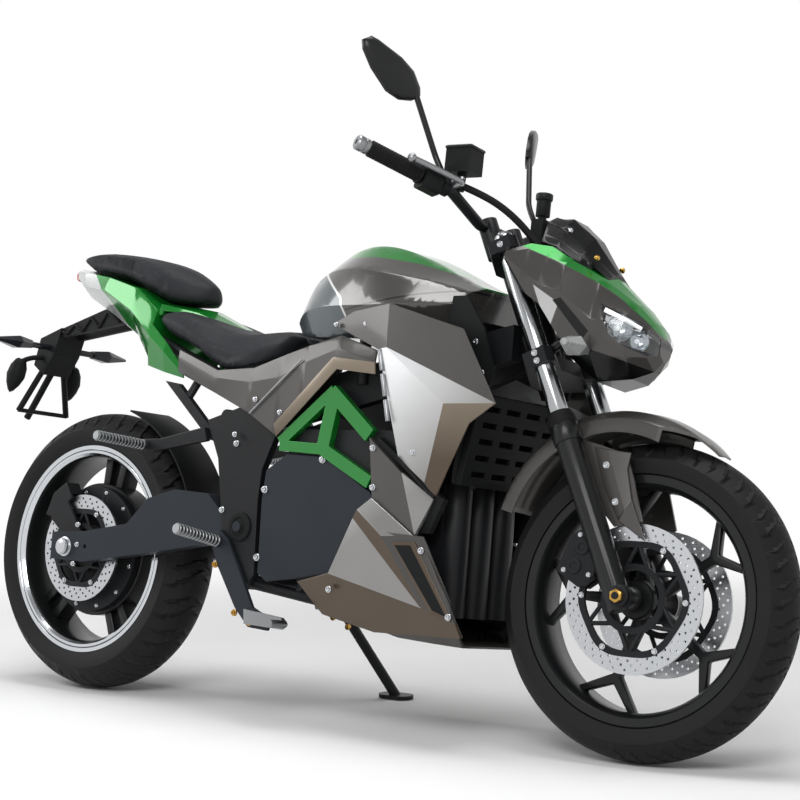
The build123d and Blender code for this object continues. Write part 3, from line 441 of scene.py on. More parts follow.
# Tail in green with a pale closing panel under its end
TAIL_PAINT = replace(
    CANDY_GREEN, name="two_tone_tail_paint", patches=(Patch.beside("#b9bcbb", (-52, 946), (44, 853)),)
)
# Powder-coated steel tube: satin black with a faint orange peel
POWDER_BLACK = Finish("powder_coat_black", "#17181a", 0.0, 0.42, 0.0, 1.6, relief_mm=0.05, gloss=0.2)
# Satin enamel on cast aluminium: dark slate with a dull sheen
SATIN_SLATE = Finish("satin_enamel_slate", "#282c32", 0.25, 0.45, 0.0, 1.8, relief_mm=0.05, gloss=0.2)
# Moulded polypropylene: matt black with a fine spark-eroded grain
GRAINED_BLACK = Finish("moulded_pp_black", "#131415", 0.0, 0.58, 0.0, 1.0, relief_mm=0.12, gloss=0.14)
# Acrylic tinted nearly black: a soft, deep gloss
SMOKED_ACRYLIC = Finish("smoked_acrylic", "#0a0b0c", 0.0, 0.28, mottle=0.05, gloss=0.25)
# Cast aluminium under gloss black lacquer: crisp highlights along the spokes
GLOSS_BLACK = Finish("lacquered_cast_black", "#121314", 0.0, 0.34, 0.12, 2.2, 0.06, gloss=0.25)
# Cast hub cover, bead-blasted and anodised: dull graphite
BLASTED_GRAPHITE = Finish("bead_blasted_graphite", "#222325", 0.4, 0.5, 0.0, 1.4, relief_mm=0.04, gloss=0.2)
# Hard chrome on a ground tube: sharp reflections
HARD_CHROME = Finish("hard_chrome", "#a9abad", 1.0, 0.16, mottle=0.03)
# Ground stainless steel: fine turning lines that stretch the gloss
GROUND_STEEL = Finish("ground_stainless", "#bfc1c4", 1.0, 0.28, 0.0, 1.2, 0.1, anisotropic=0.5)
# Turned aluminium left bright on the wheel's lip
POLISHED_LIP = Finish("diamond_turned_aluminium", "#c9ccd0", 1.0, 0.16, 0.3, 1.0, 0.06, anisotropic=0.4)
# Machined aluminium with a satin anodised skin
SATIN_ALLOY = Finish("machined_aluminium", "#8d8f91", 1.0, 0.36, 0.0, 1.0, 0.1)
# Zinc-plated screw heads: small bright points
ZINC = Finish("zinc_plated_steel", "#c3c5c8", 1.0, 0.25, mottle=0.08)
# Yellow-passivated screws and nut: warm gold points
BRASS = Finish("yellow_passivated_steel", "#b8924a", 1.0, 0.3, mottle=0.1)
# Carbon-filled tyre rubber: dusty near-black, soft gloss on the flanks
TYRE_RUBBER = Finish("carbon_filled_rubber", "#161617", 0.0, 0.6, 0.0, 3.0, 0.16, 0.08, gloss=0.2)
# Moulded grip rubber: dull, with a fine tooth
GRIP_RUBBER = Finish("moulded_grip_rubber", "#131314", 0.0, 0.66, 0.0, 1.2, relief_mm=0.1, gloss=0.15)
# Embossed vinyl over foam: charcoal pebble grain, paler behind the cross seam of the rear pad
SEAT_VINYL = Finish(
    "embossed_vinyl", "#1b1c1f", 0.0, 0.55, 0.0, 2.4, 0.16, 0.3, gloss=0.14,
    patches=(
        Patch.beside("#27282b", (117, 885), (73, 975)),
        Patch.inside("#101112", (71, 975), (75, 975), (119, 885), (115, 885)),
    ),
)
# Clear moulded polycarbonate: hard outer cover of the lamps
CLEAR_LENS = Finish("clear_polycarbonate", "#f2f5f6", 0.0, 0.04, clear=1.0, mottle=0.02)
# Vacuum-metallised lamp bowls: bright and slightly rippled
METALLISED = Finish("vacuum_metallised_bowl", "#b4b8bc", 1.0, 0.12, mottle=0.04)
# Frosted light guide: milky white bar
LIGHT_GUIDE = Finish("frosted_light_guide", "#eef1f2", 0.0, 0.4, glow=0.5, mottle=0.04)
# Silvered glass of the mirrors
MIRROR_GLASS = Finish("silvered_glass", "#cfd4d6", 1.0, 0.03, mottle=0.02)
# Red moulded lens with a wet gloss
RED_LENS = Finish("red_polycarbonate", "#b0151c", 0.0, 0.12, 0.5, mottle=0.1)
# Clear ribbed lens of the front signals: pale, broken up by its flutes
SIGNAL_LENS = Finish(
    "fluted_polycarbonate", "#8f9190", 0.0, 0.2, 0.3, 6.0, 0.5, 0.6, (1.0, 4.0, 0.3), gloss=0.5
)
# Grey smoked lens of the rear signals
SMOKED_LENS = Finish("smoked_polycarbonate", "#1f2024", 0.0, 0.22, 0.2, mottle=0.08)
# Grey powder coat on spring wire
SPRING_COAT = Finish("spring_powder_coat", "#8f9094", 0.3, 0.35, 0.2, 1.4)

NODE_FINISHES: dict[Finish, str] = {
    POWDER_BLACK: "main_frame battery_pack front_housing rear_shock peg_hangers rear_caliper fork_clamps "
    "front_calipers handlebar side_stand",
    SATIN_SLATE: "swingarm battery_covers foot_brackets",
    CANDY_GREEN: "trellis_inserts tail_wings seat_hump",
    GUNMETAL: "tank_shrouds side_covers belly_pan",
    TANK_PAINT: "tank_cover",
    NOSE_PAINT: "headlight_cowl",
    FENDER_PAINT: "front_fender",
    TAIL_PAINT: "tail_body",
    # The air guides' solid is dressed black too, so that the part of it standing out beyond the faceted guide
    # panels is painted shade, as dark as the black housing behind it
    GRAINED_BLACK: "inner_panels air_guides radiator_grille plate_hanger rear_hugger controls mirrors dash",
    SEAT_VINYL: "rider_seat pillion_seat",
    RED_LENS: "tail_lamp",
    SMOKED_LENS: "rear_signals",
    SIGNAL_LENS: "front_signals",
    SATIN_ALLOY: "rider_pegs brake_pedal passenger_pegs bar_ends levers",
    GROUND_STEEL: "rear_axle front_discs rear_disc",
    HARD_CHROME: "fork_tubes",
    GLOSS_BLACK: "fork_legs front_rim rear_rim",
    BLASTED_GRAPHITE: "hub_motor front_axle",
    GRIP_RUBBER: "grips loom_right loom_left",
    CLEAR_LENS: "headlamps",
    SMOKED_ACRYLIC: "visor",
    TYRE_RUBBER: "front_tyre rear_tyre",
}
EDGE_MM = {"swingarm": 4.0, "main_frame": 2.5, "foot_brackets": 2.5, "controls": 3.0, "front_calipers": 3.0,
           "rear_caliper": 3.0, "battery_covers": 2.5, "tank_cover": 4.0, "dash": 3.0, "peg_hangers": 2.5}


def face_out(mesh: bmesh.types.BMesh) -> None:
    """Turn all faces outwards."""
    bmesh.ops.recalc_face_normals(mesh, faces=mesh.faces[:])


def weld(mesh: bmesh.types.BMesh, distance: float) -> None:
    """Merge the corners that lie within a distance, then turn all faces outwards."""
    bmesh.ops.remove_doubles(mesh, verts=mesh.verts[:], dist=distance)
    face_out(mesh)


def move(mesh: bmesh.types.BMesh, matrix: Matrix) -> None:
    """Carry the whole mesh by a matrix."""
    bmesh.ops.transform(mesh, matrix=matrix, verts=mesh.verts[:])


def repeat_round(mesh: bmesh.types.BMesh, axle: Vector, count: int, way: int = 1) -> None:
    """Repeat a mesh evenly round a wheel.

    Args:
        mesh: one repeat, which takes in the others.
        axle: the wheel's centre.
        count: number of repeats in all.
        way: -1 to go round the other way.
    """
    everything = mesh.verts[:] + mesh.edges[:] + mesh.faces[:]
    angle = way * math.tau * (count - 1) / count
    bmesh.ops.spin(
        mesh, geom=everything, cent=axle, axis=(0, 1, 0), angle=angle, steps=count - 1, use_duplicate=True
    )


def round_edges(mesh: bmesh.types.BMesh, width: float, angle_deg: float = 18.0, segments: int = 2) -> None:
    """Bevel every edge of a closed mesh that turns by more than an angle.

    Args:
        mesh: the mesh to change.
        width: width of the bevel in millimetres.
        angle_deg: smallest turn that is rounded.
        segments: steps across the bevel.
    """
    limit = math.radians(angle_deg)
    sharp = [edge for edge in mesh.edges if edge.is_manifold and edge.calc_face_angle() > limit]
    bmesh.ops.bevel(
        mesh, geom=sharp, offset=width, offset_type="OFFSET", affect="EDGES", segments=segments, profile=0.5,
        clamp_overlap=True, material=-1,
    )


def push(mesh: bmesh.types.BMesh, faces: Sequence[bmesh.types.BMFace], by: Point) -> list:
    """Extrude faces as one region.

    Args:
        mesh: the mesh to change.
        faces: faces of the region.
        by: how far the region moves.

    Returns:
        The region's new geometry.
    """
    made = bmesh.ops.extrude_face_region(mesh, geom=list(faces))["geom"]
    bmesh.ops.translate(mesh, verts=[part for part in made if isinstance(part, bmesh.types.BMVert)], vec=by)
    return made


def smooth_line(name: str, points: Sequence[Point], radius: float) -> bpy.types.Object:
    """Lay a round NURBS curve along control points.

    Args:
        name: the object's name.
        points: the route's points.
        radius: radius of the round section, in the points' own unit.

    Returns:
        The curve object, not yet in the scene.
    """
    data = bpy.data.curves.new(name, "CURVE")
    data.dimensions = "3D"
    data.bevel_depth = radius
    data.bevel_resolution = 4
    data.use_fill_caps = True
    spline = data.splines.new("NURBS")
    spline.points.add(len(points) - 1)
    for knot, at in zip(spline.points, points):
        knot.co = (*at, 1.0)
    spline.order_u = 3
    spline.use_endpoint_u = True
    spline.use_smooth = True
    return bpy.data.objects.new(name, data)


class Shape:
    """A mesh being modelled in the machine's upright millimetres; each method adds to it and returns it."""

    def __init__(self) -> None:
        """Start empty."""
        self.mesh = bmesh.new()

    def join(self, part: bmesh.types.BMesh, tone: Optional[int] = None) -> "Shape":
        """Take in another mesh and free it.

        Args:
            part: the mesh to take in.
            tone: number of the finish for all its faces.

        Returns:
            The shape.
        """
        for face in part.faces:
            face.material_index = face.material_index if tone is None else tone
        spare = bpy.data.meshes.new("spare")
        part.to_mesh(spare)
        part.free()
        self.mesh.from_mesh(spare)
        bpy.data.meshes.remove(spare)
        return self

    def facets(
        self, corners: dict[str, Point], faces: dict[str, int], wall: float = 4.0, edge: float = 1.6
    ) -> "Shape":
        """Add a moulded panel of flat facets on the right-hand side.

        Args:
            corners: the outer face's corner points, each under one letter.
            faces: for each facet's corner letters the number of its finish.
            wall: thickness, which goes inwards.
            edge: width of the rounding on its edges.

        Returns:
            The shape.
        """
        part = bmesh.new()
        points = {letter: part.verts.new(at) for letter, at in corners.items()}
        for letters, tone in faces.items():
            face = part.faces.new([points[letter] for letter in letters])
            face.material_index = tone
            face.normal_update()
            if face.normal.y > 0:
                face.normal_flip()
        bmesh.ops.solidify(part, geom=part.faces[:], thickness=wall)
        face_out(part)
        round_edges(part, edge, 8.0)
        return self.join(part)

    def lathe(
        self,
        profile: Sequence[tuple[float, float]],
        centre: Point,
        axis: Point = RIGHT,
        steps: int = 48,
        tone: int = 0,
    ) -> "Shape":
        """Turn a profile round an axis.

        Args:
            profile: (along the axis, radius) points.
            centre: where the axis starts.
            axis: direction of the axis.
            steps: facets round the axis.
            tone: number of its finish.

        Returns:
            The shape.
        """
        part = bmesh.new()
        along = Vector(axis).normalized()
        side = along.orthogonal().normalized()
        line = [part.verts.new(Vector(centre) + along * a + side * radius) for a, radius in profile]
        edges = [part.edges.new(pair) for pair in zip(line, line[1:])]
        bmesh.ops.spin(
            part, geom=line + edges, cent=centre, axis=along, angle=math.tau, steps=steps, use_merge=True
        )
        weld(part, 0.01)
        return self.join(part, tone)

    def bar(
        self, start: Point, end: Point, radius: float, edge: float = 1.0, steps: int = 20, tone: int = 0
    ) -> "Shape":
        """Add a straight bar with rounded ends; six steps make it a hexagon.

        Args:
            start: middle of one end.
            end: middle of the other.
            radius: radius over the corners.
            edge: rounding of the ends.
            steps: sides.
            tone: number of its finish.

        Returns:
            The shape.
        """
        part = bmesh.new()
        reach = Vector(end) - Vector(start)
        turn = reach.to_track_quat("Z", "Y").to_matrix().to_4x4()
        place = Matrix.Translation((Vector(start) + Vector(end)) / 2) @ turn
        bmesh.ops.create_cone(
            part, cap_ends=True, segments=steps, radius1=radius, radius2=radius, depth=reach.length,
            matrix=place,
        )
        round_edges(part, edge, 40.0)
        return self.join(part, tone)

    def ribbed(self, start: Point, end: Point, radius: float, pitch: float, depth: float) -> "Shape":
        """Add a bar turned with even rings along its length.

        Args:
            start: middle of one end.
            end: middle of the other.
            radius: radius over the rings.
            pitch: distance from ring to ring.
            depth: depth of the grooves between them.

        Returns:
            The shape.
        """
        reach = Vector(end) - Vector(start)
        count = int(reach.length / pitch)
        steps = [(0.0, depth), (0.12, 0.0), (0.6, 0.0), (0.72, depth)]
        rings = [((i + a) * reach.length / count, radius - low) for i in range(count) for a, low in steps]
        end_cap = [(reach.length, radius - depth), (reach.length, 0.0)]
        return self.lathe([(0.0, 0.0), *rings, *end_cap], start, reach, 28)

    def bolt(self, at: Point, facing: Point, radius: float, tone: int = 0) -> "Shape":
        """Add a flanged cap screw with its socket, sunk a little in the surface."""
        return self.lathe([(a * radius, r * radius) for a, r in SCREW_HEAD], at, facing, 12, tone)

    def bolts(
        self, places: Iterable[tuple[float, float]], out: float, radius: float, tone: int = 0
    ) -> "Shape":
        """Add screws that face the right-hand side, at (x, z) places of a face that far out."""
        for x, z in places:
            self.bolt((x, -out, z), RIGHT, radius, tone)
        return self

    def wire(self, points: Sequence[Point], radius: float, tone: int = 0) -> "Shape":
        """Add a bent rod along a smooth line through a few control points."""
        curve = smooth_line("spare", points, radius)
        spare = bpy.data.meshes.new_from_object(curve)
        part = bmesh.new()
        part.from_mesh(spare)
        weld(part, 0.01)
        bpy.data.meshes.remove(spare)
        bpy.data.curves.remove(curve.data)
        return self.join(part, tone)

    def mirrored(self) -> "Shape":
        """Repeat everything on the left-hand side."""
        everything = self.mesh.verts[:] + self.mesh.edges[:] + self.mesh.faces[:]
        bmesh.ops.mirror(self.mesh, geom=everything, axis="Y", merge_dist=0.001)
        face_out(self.mesh)
        return self


@dataclass
class Workshop:
    """Turns finished shapes into pieces of the scene."""

    frame: dict
    stance: Stance

    def place(
        self, name: str, shape: Shape, body: Body, slot: str, finishes: Sequence[Finish], *replaced: str,
        smooth_deg: float = 32.0,
    ) -> bpy.types.Object:
        """Set a shape down on its body.

        Args:
            name: the piece's name.
            shape: its mesh in the machine's millimetres, which is used up.
            body: the body that carries it.
            slot: the record's material slot; not used.
            finishes: its finishes, in the order of their numbers.
            replaced: solids that it stands for.
            smooth_deg: edges that turn by less are shaded smooth.

        Returns:
            The piece.
        """
        data = bpy.data.meshes.new(name)
        move(shape.mesh, self.stance.of(body))
        shape.mesh.to_mesh(data)
        shape.mesh.free()
        for finish in finishes:
            data.materials.append(finish.material(self.stance))
        data.shade_smooth()
        data.set_sharp_from_angle(angle=math.radians(smooth_deg))
        return self.enter(bpy.data.objects.new(name, data), body, slot, *replaced)

    def enter(self, piece: bpy.types.Object, body: Body, slot: str, *replaced: str) -> bpy.types.Object:
        """Put a piece in the scene on its body, in place of solids if any are named."""
        link(piece)
        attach(piece, body.value)
        if replaced:
            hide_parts(*replaced)
        LOG.info("built %s on %s", piece.name, body.value)
        return piece


@dataclass(frozen=True)
class Tyre:
    """Road tyre: a section swept round the wheel, with slanting grooves sunk in each pitch of the tread.

    Args:
        axle: the wheel's centre.
        radius: radius over the crown.
        crown: radius of the tread's cross curve.
        half: half the width.
        flange: radius of the rim's flange.
        rim_half: half the width over the flanges.
        pitches: repeats of the pattern round the tyre.
        grooves: for each groove its two ends, as share of the pitch and row of the section, and its width.
        shoulder_deg: how far the cross curve goes to each side.
        depth: depth of the grooves.
        columns: facets along one pitch.
    """

    axle: Vector
    radius: float
    crown: float
    half: float
    flange: float
    rim_half: float
    pitches: int
    grooves: tuple[Groove, ...]
    shoulder_deg: float = 50.0
    depth: float = 3.0
    columns: int = 12

    def section(self) -> list[tuple[float, float]]:
        """Give the section's points, from the right bead over the crown and round to it again.

        Returns:
            The points as (across, radius).
        """
        shoulder = math.radians(self.shoulder_deg)
        turns = [shoulder * (i / 4 - 1) for i in range(9)]
        arc = [(self.crown * math.sin(t), self.radius - self.crown * (1 - math.cos(t))) for t in turns]
        low = arc[0][1]
        flank = low - 0.3 * (low - self.flange)
        lower = flank - 0.55 * (flank - self.flange)
        wall = [
            (self.rim_half - 6, self.flange - 8),
            (self.rim_half - 6, self.flange + 2),
            (self.rim_half, self.flange + 2),
            (self.half - 1.5, lower),
            (self.half, flank),
        ]
        right = [(-across, radius) for across, radius in wall]
        return [*right, *arc, *reversed(wall), right[0]]

    def sink(self, flat: bmesh.types.BMesh, groove: Groove) -> None:
        """Cut one groove in the flat pitch and push its floor down.

        Args:
            flat: the pitch, with x along it and y counting the section's rows.
            groove: its two ends and its width.
        """
        start, end, wide = Vector((*groove[:2], 0)), Vector((*groove[2:4], 0)), groove[4]
        run = (end - start).normalized()
        across = Vector((run.y, -run.x, 0))
        low, high = sorted((start.y, end.y))

        def between(face: bmesh.types.BMFace) -> bool:
            """Whether a face lies in the groove's rows, clear of the pitch's ends."""
            inner = all(0.05 < corner.co.x < 0.95 for corner in face.verts)
            return inner and low < face.calc_center_median().y < high

        for side in (-0.5, 0.5):
            faces = [face for face in flat.faces if between(face)]
            edges = {edge for face in faces for edge in face.edges}
            corners = {corner for face in faces for corner in face.verts}
            bmesh.ops.bisect_plane(
                flat, geom=[*corners, *edges, *faces], dist=0.0001, plane_co=start + across * wide * side,
                plane_no=across,
            )
        floor = [
            face
            for face in flat.faces
            if between(face) and abs((face.calc_center_median() - start).dot(across)) < wide / 2
        ]
        push(flat, floor, (0, 0, -self.depth))

    def shape(self) -> Shape:
        """Model the tyre: cut one flat pitch, wrap it round the section and repeat it round the wheel."""
        ring = self.section()
        rows = len(ring) - 1
        flat = bmesh.new()
        bmesh.ops.create_grid(flat, x_segments=self.columns, y_segments=rows, size=0.5)
        lay = Matrix.Diagonal((1, rows, 1, 1)) @ Matrix.Translation((0.5, 0.5, 0))
        move(flat, lay)
        for groove in self.grooves:
            self.sink(flat, groove)
        for corner in flat.verts:
            row = min(int(corner.co.y + 0.001), rows - 1)
            share = corner.co.y - row
            (near, inner), (far, outer) = ring[row], ring[row + 1]
            across, radius = near + (far - near) * share, inner + (outer - inner) * share
            sunk = Vector((across, radius - self.radius + self.crown)).normalized() * corner.co.z
            turn = corner.co.x * math.tau / self.pitches
            spoke = Vector((math.cos(turn), 0, math.sin(turn))) * (radius + sunk.y)
            corner.co = self.axle + spoke + Vector((0, across + sunk.x, 0))
        repeat_round(flat, self.axle, self.pitches, -1)
        weld(flat, 0.05)
        return Shape().join(flat)


@dataclass(frozen=True)
class Rim:
    """Cast rim: a turned barrel with flanges, spokes repeated round it, and a turned hub or collar.

    Args:
        axle: the wheel's centre.
        barrel: right half of the barrel's section, as (across, radius), from the bead seat to the well.
        hub: closed section of the hub.
        ribs: for each rib of a spoke its half thickness and its outline, as (outwards, sideways).
        start_deg: direction of the first spoke, upwards from straight ahead.
        count: number of spokes.
        edge: rounding of the ribs.
    """

    axle: Vector
    barrel: Outline
    hub: Outline
    ribs: tuple[tuple[float, Outline], ...]
    start_deg: float
    count: int = 5
    edge: float = 3.5

    def shape(self) -> Shape:
        """Model the rim: turn the barrel and the hub, cast one spoke and repeat it round the wheel."""
        left = [(-across, radius) for across, radius in reversed(self.barrel)]
        ring = [*self.barrel, *left, self.barrel[0]]
        rim = Shape().lathe(ring, self.axle, RIGHT, 128).lathe(self.hub, self.axle, RIGHT, 64)
        spoke = bmesh.new()
        for half, outline in self.ribs:
            face = spoke.faces.new([spoke.verts.new((out, half, side)) for out, side in outline])
            push(spoke, [face], RIGHT * 2 * half)
        face_out(spoke)
        round_edges(spoke, self.edge, segments=3)
        place = Matrix.Translation(self.axle) @ Matrix.Rotation(-math.radians(self.start_deg), 4, "Y")
        move(spoke, place)
        repeat_round(spoke, self.axle, self.count)
        return rim.join(spoke)


@dataclass(frozen=True)
class Rotor:
    """Perforated brake disc on a carrier of two rings with struts between them.

    Args:
        axle: the wheel's centre.
        face: distance of the disc's outer face from the middle.
        radius: outer radius.
        band: width of the braking band.
        hub: radius of the carrier's bore.
        holes: drilled holes in each of three rows.
        waves: scallops of the band's inner edge, with a pair of carrier struts to each.
        thick: thickness of the disc.
        hole_radius: radius of the drilled holes.
    """

    axle: Vector
    face: float
    radius: float
    band: float
    hub: float
    holes: int
    waves: int
    thick: float = 5.0
    hole_radius: float = 2.6

    def sheet(
        self,
        rings: Sequence[tuple[float, float]],
        thick: float,
        lift: float = 0.0,
        dots: Iterable[Matrix] = (),
    ) -> bmesh.types.BMesh:
        """Cut a flat ring with holes, give it its thickness and stand it up on the wheel.

        Args:
            rings: radius and wave height of its outer and inner edge.
            thick: thickness, which goes inwards.
            lift: how far it stands out from the disc's face.
            dots: place and size of each hole.

        Returns:
            The sheet.
        """
        part = bmesh.new()
        for radius, wave in rings:
            segments = self.waves * 8
            edge = bmesh.ops.create_circle(part, cap_ends=False, segments=segments, radius=radius)
            for corner in edge["verts"]:
                turn = math.atan2(corner.co.y, corner.co.x)
                corner.co *= 1 + wave * math.cos(turn * self.waves) / radius
        for place in dots:
            bmesh.ops.create_circle(part, cap_ends=False, segments=10, radius=1.0, matrix=place)
        bmesh.ops.triangle_fill(part, use_beauty=True, use_dissolve=False, edges=part.edges[:])
        push(part, part.faces[:], (0, 0, -thick))
        face_out(part)
        stand = Matrix(((1, 0, 0, 0), (0, 0, -1, -self.face), (0, 1, 0, 0), (0, 0, 0, 1)))
        place = Matrix.Translation(self.axle) @ stand @ Matrix.Translation((0, 0, lift))
        move(part, place)
        return part

    def rim_point(self, radius: float, turns: float, out: float) -> Vector:
        """Point at a radius, a share of a full turn round, and a distance from the wheel's middle."""
        angle = math.tau * turns
        return self.axle + Vector((math.cos(angle), 0, math.sin(angle))) * radius + RIGHT * out

    def add_to(self, shape: Shape) -> Shape:
        """Add the disc, its carrier and its buttons: finishes 0, 1 and 2.

        Args:
            shape: the shape that takes them.

        Returns:
            The shape.
        """
        inner = self.radius - self.band
        dots = []
        for row, share in enumerate((0.25, 0.5, 0.75)):
            for i in range(self.holes):
                turn = Matrix.Rotation(math.tau * (i + row * 0.4) / self.holes, 4, "Z")
                reach = Matrix.Translation((inner + self.band * share, 0, 0))
                dots.append(turn @ reach @ Matrix.Scale(self.hole_radius, 4))
        shape.join(self.sheet([(self.radius, 0.0), (inner, 2.0)], self.thick, dots=dots), 0)
        shape.join(self.sheet([(inner + 5, 3.0), (inner - 7, 2.0)], self.thick + 2, 1.5), 1)
        shape.join(self.sheet([(self.hub + 12, 0.0), (self.hub, 0.0)], self.thick + 2, 1.5), 1)
        middle = self.face - self.thick / 2
        for i in range(self.waves):
            for lean in (-0.5, 0.5):
                low = self.rim_point(self.hub + 8, (i + lean * 0.3) / self.waves, middle)
                shape.bar(low, self.rim_point(inner - 2, (i + lean) / self.waves, middle), 4.5, 1.2, 8, 1)
            shape.bolt(self.rim_point(inner + 1, i / self.waves, self.face + 1), RIGHT, 6.0, 2)
        return shape


# Grooves of both tyres, and the finishes of disc, carrier and buttons
TREAD: tuple[Groove, ...] = (
    (0.12, 5, 0.6, 9, 0.08), (0.4, 13, 0.88, 9, 0.08), (0.6, 5, 0.88, 8, 0.07), (0.12, 13, 0.4, 10, 0.07),
)
ROTOR_FINISHES = (GROUND_STEEL, BLASTED_GRAPHITE, ZINC)


@dataclass
class FrontWheel:
    """Front wheel: grooved tyre, five forked spokes and twin discs.

    Args:
        tyre: the tyre.
        rim: the cast rim, with one rib to a spoke.
        rotor: the right-hand disc.
    """

    tyre: Tyre = Tyre(FRONT_AXLE, 293.0, 58.0, 55.0, 230.0, 51.0, 26, TREAD)
    rim: Rim = Rim(
        FRONT_AXLE,
        ((45, 222), (45, 228.5), (46.5, 230), (49.5, 230), (51, 228.5), (51, 214), (48, 210.8), (37, 204)),
        (
            (-58, 10.6), (-58, 33), (-55, 36), (-46, 38), (-26, 28), (26, 28), (46, 38), (55, 36), (58, 33),
            (58, 10.6), (-58, 10.6),
        ),
        (
            (
                10.0,
                (
                    (24, -14), (146, -8), (198, -67), (203, -53), (164, 0), (203, 53), (198, 67), (146, 8),
                    (24, 14),
                ),
            ),
        ),
        35.0,
    )
    rotor: Rotor = Rotor(FRONT_AXLE, 68.0, 137.0, 34.0, 52.0, 36, 6)

    def build(self, shop: Workshop) -> None:
        """Model and place the wheel's pieces."""
        body = Body.FRONT_WHEEL
        shop.place("front_tread", self.tyre.shape(), body, "tyre_rubber", [TYRE_RUBBER], "front_tyre")
        shop.place("front_casting", self.rim.shape(), body, "rim_black", [GLOSS_BLACK], "front_rim")
        discs = self.rotor.add_to(Shape()).mirrored()
        shop.place("front_rotors", discs, body, "bright_steel", ROTOR_FINISHES, "front_discs")


@dataclass
class RearWheel:
    """Rear wheel: grooved tyre, five ribbed spokes, bright lips, motor cover screws and one disc.

    Args:
        tyre: the tyre.
        rim: the cast rim, with a web and two ribs to a spoke.
        rotor: the disc.
        lip: closed section of the bright lip, as (across, radius).
        cover_screws: number of screws round each motor cover.
        cover_radius: radius of their circle.
        cover_out: distance of the covers' faces from the middle.
    """

    tyre: Tyre = Tyre(REAR_AXLE, 312.0, 75.0, 73.0, 232.5, 62.0, 24, TREAD)
    rim: Rim = Rim(
        REAR_AXLE,
        (
            (56, 224.5), (56, 231), (57.5, 232.5), (60.5, 232.5), (62, 231), (62, 216.5), (59, 213),
            (48, 206.5),
        ),
        ((-30, 141), (-30, 148), (-28, 150), (28, 150), (30, 148), (30, 141), (-30, 141)),
        (
            (10.0, ((140, -24), (212, -26), (212, 26), (140, 24))),
            (24.0, ((140, -30), (209, -36), (212, -14), (140, -10))),
            (24.0, ((140, 10), (212, 14), (209, 36), (140, 30))),
        ),
        80.0,
    )
    rotor: Rotor = Rotor(REAR_AXLE, 78.0, 120.0, 34.0, 44.0, 30, 6)
    lip: Outline = (
        (55.0, 233.4), (63.0, 233.4), (63.0, 225.0), (61.8, 224.0), (61.8, 222.6), (63.0, 221.6),
        (63.0, 216.0), (57.0, 211.0), (55.5, 213.2), (60.0, 218.0), (60.0, 231.0), (55.0, 231.0),
        (55.0, 233.4),
    )
    cover_screws: int = 12
    cover_radius: float = 131.0
    cover_out: float = 46.0

    def build(self, shop: Workshop) -> None:
        """Model and place the wheel's pieces."""
        body = Body.REAR_WHEEL
        shop.place("rear_tread", self.tyre.shape(), body, "tyre_rubber", [TYRE_RUBBER], "rear_tyre")
        shop.place("rear_casting", self.rim.shape(), body, "rim_black", [GLOSS_BLACK], "rear_rim")
        lips = Shape().lathe(self.lip, REAR_AXLE, RIGHT, 128).mirrored()
        shop.place("rear_rim_lips", lips, body, "alloy", [POLISHED_LIP])
        disc = self.rotor.add_to(Shape())
        shop.place("rear_rotor", disc, body, "bright_steel", ROTOR_FINISHES, "rear_disc")
        screws = Shape()
        for i in range(self.cover_screws):
            turn = math.tau * (i + 0.5) / self.cover_screws
            spoke = Vector((math.cos(turn), 0, math.sin(turn))) * self.cover_radius
            screws.bolt(REAR_AXLE + spoke + RIGHT * self.cover_out, RIGHT, 5.0)
        shop.place("motor_cover_screws", screws.mirrored(), body, "bright_steel", [ZINC])


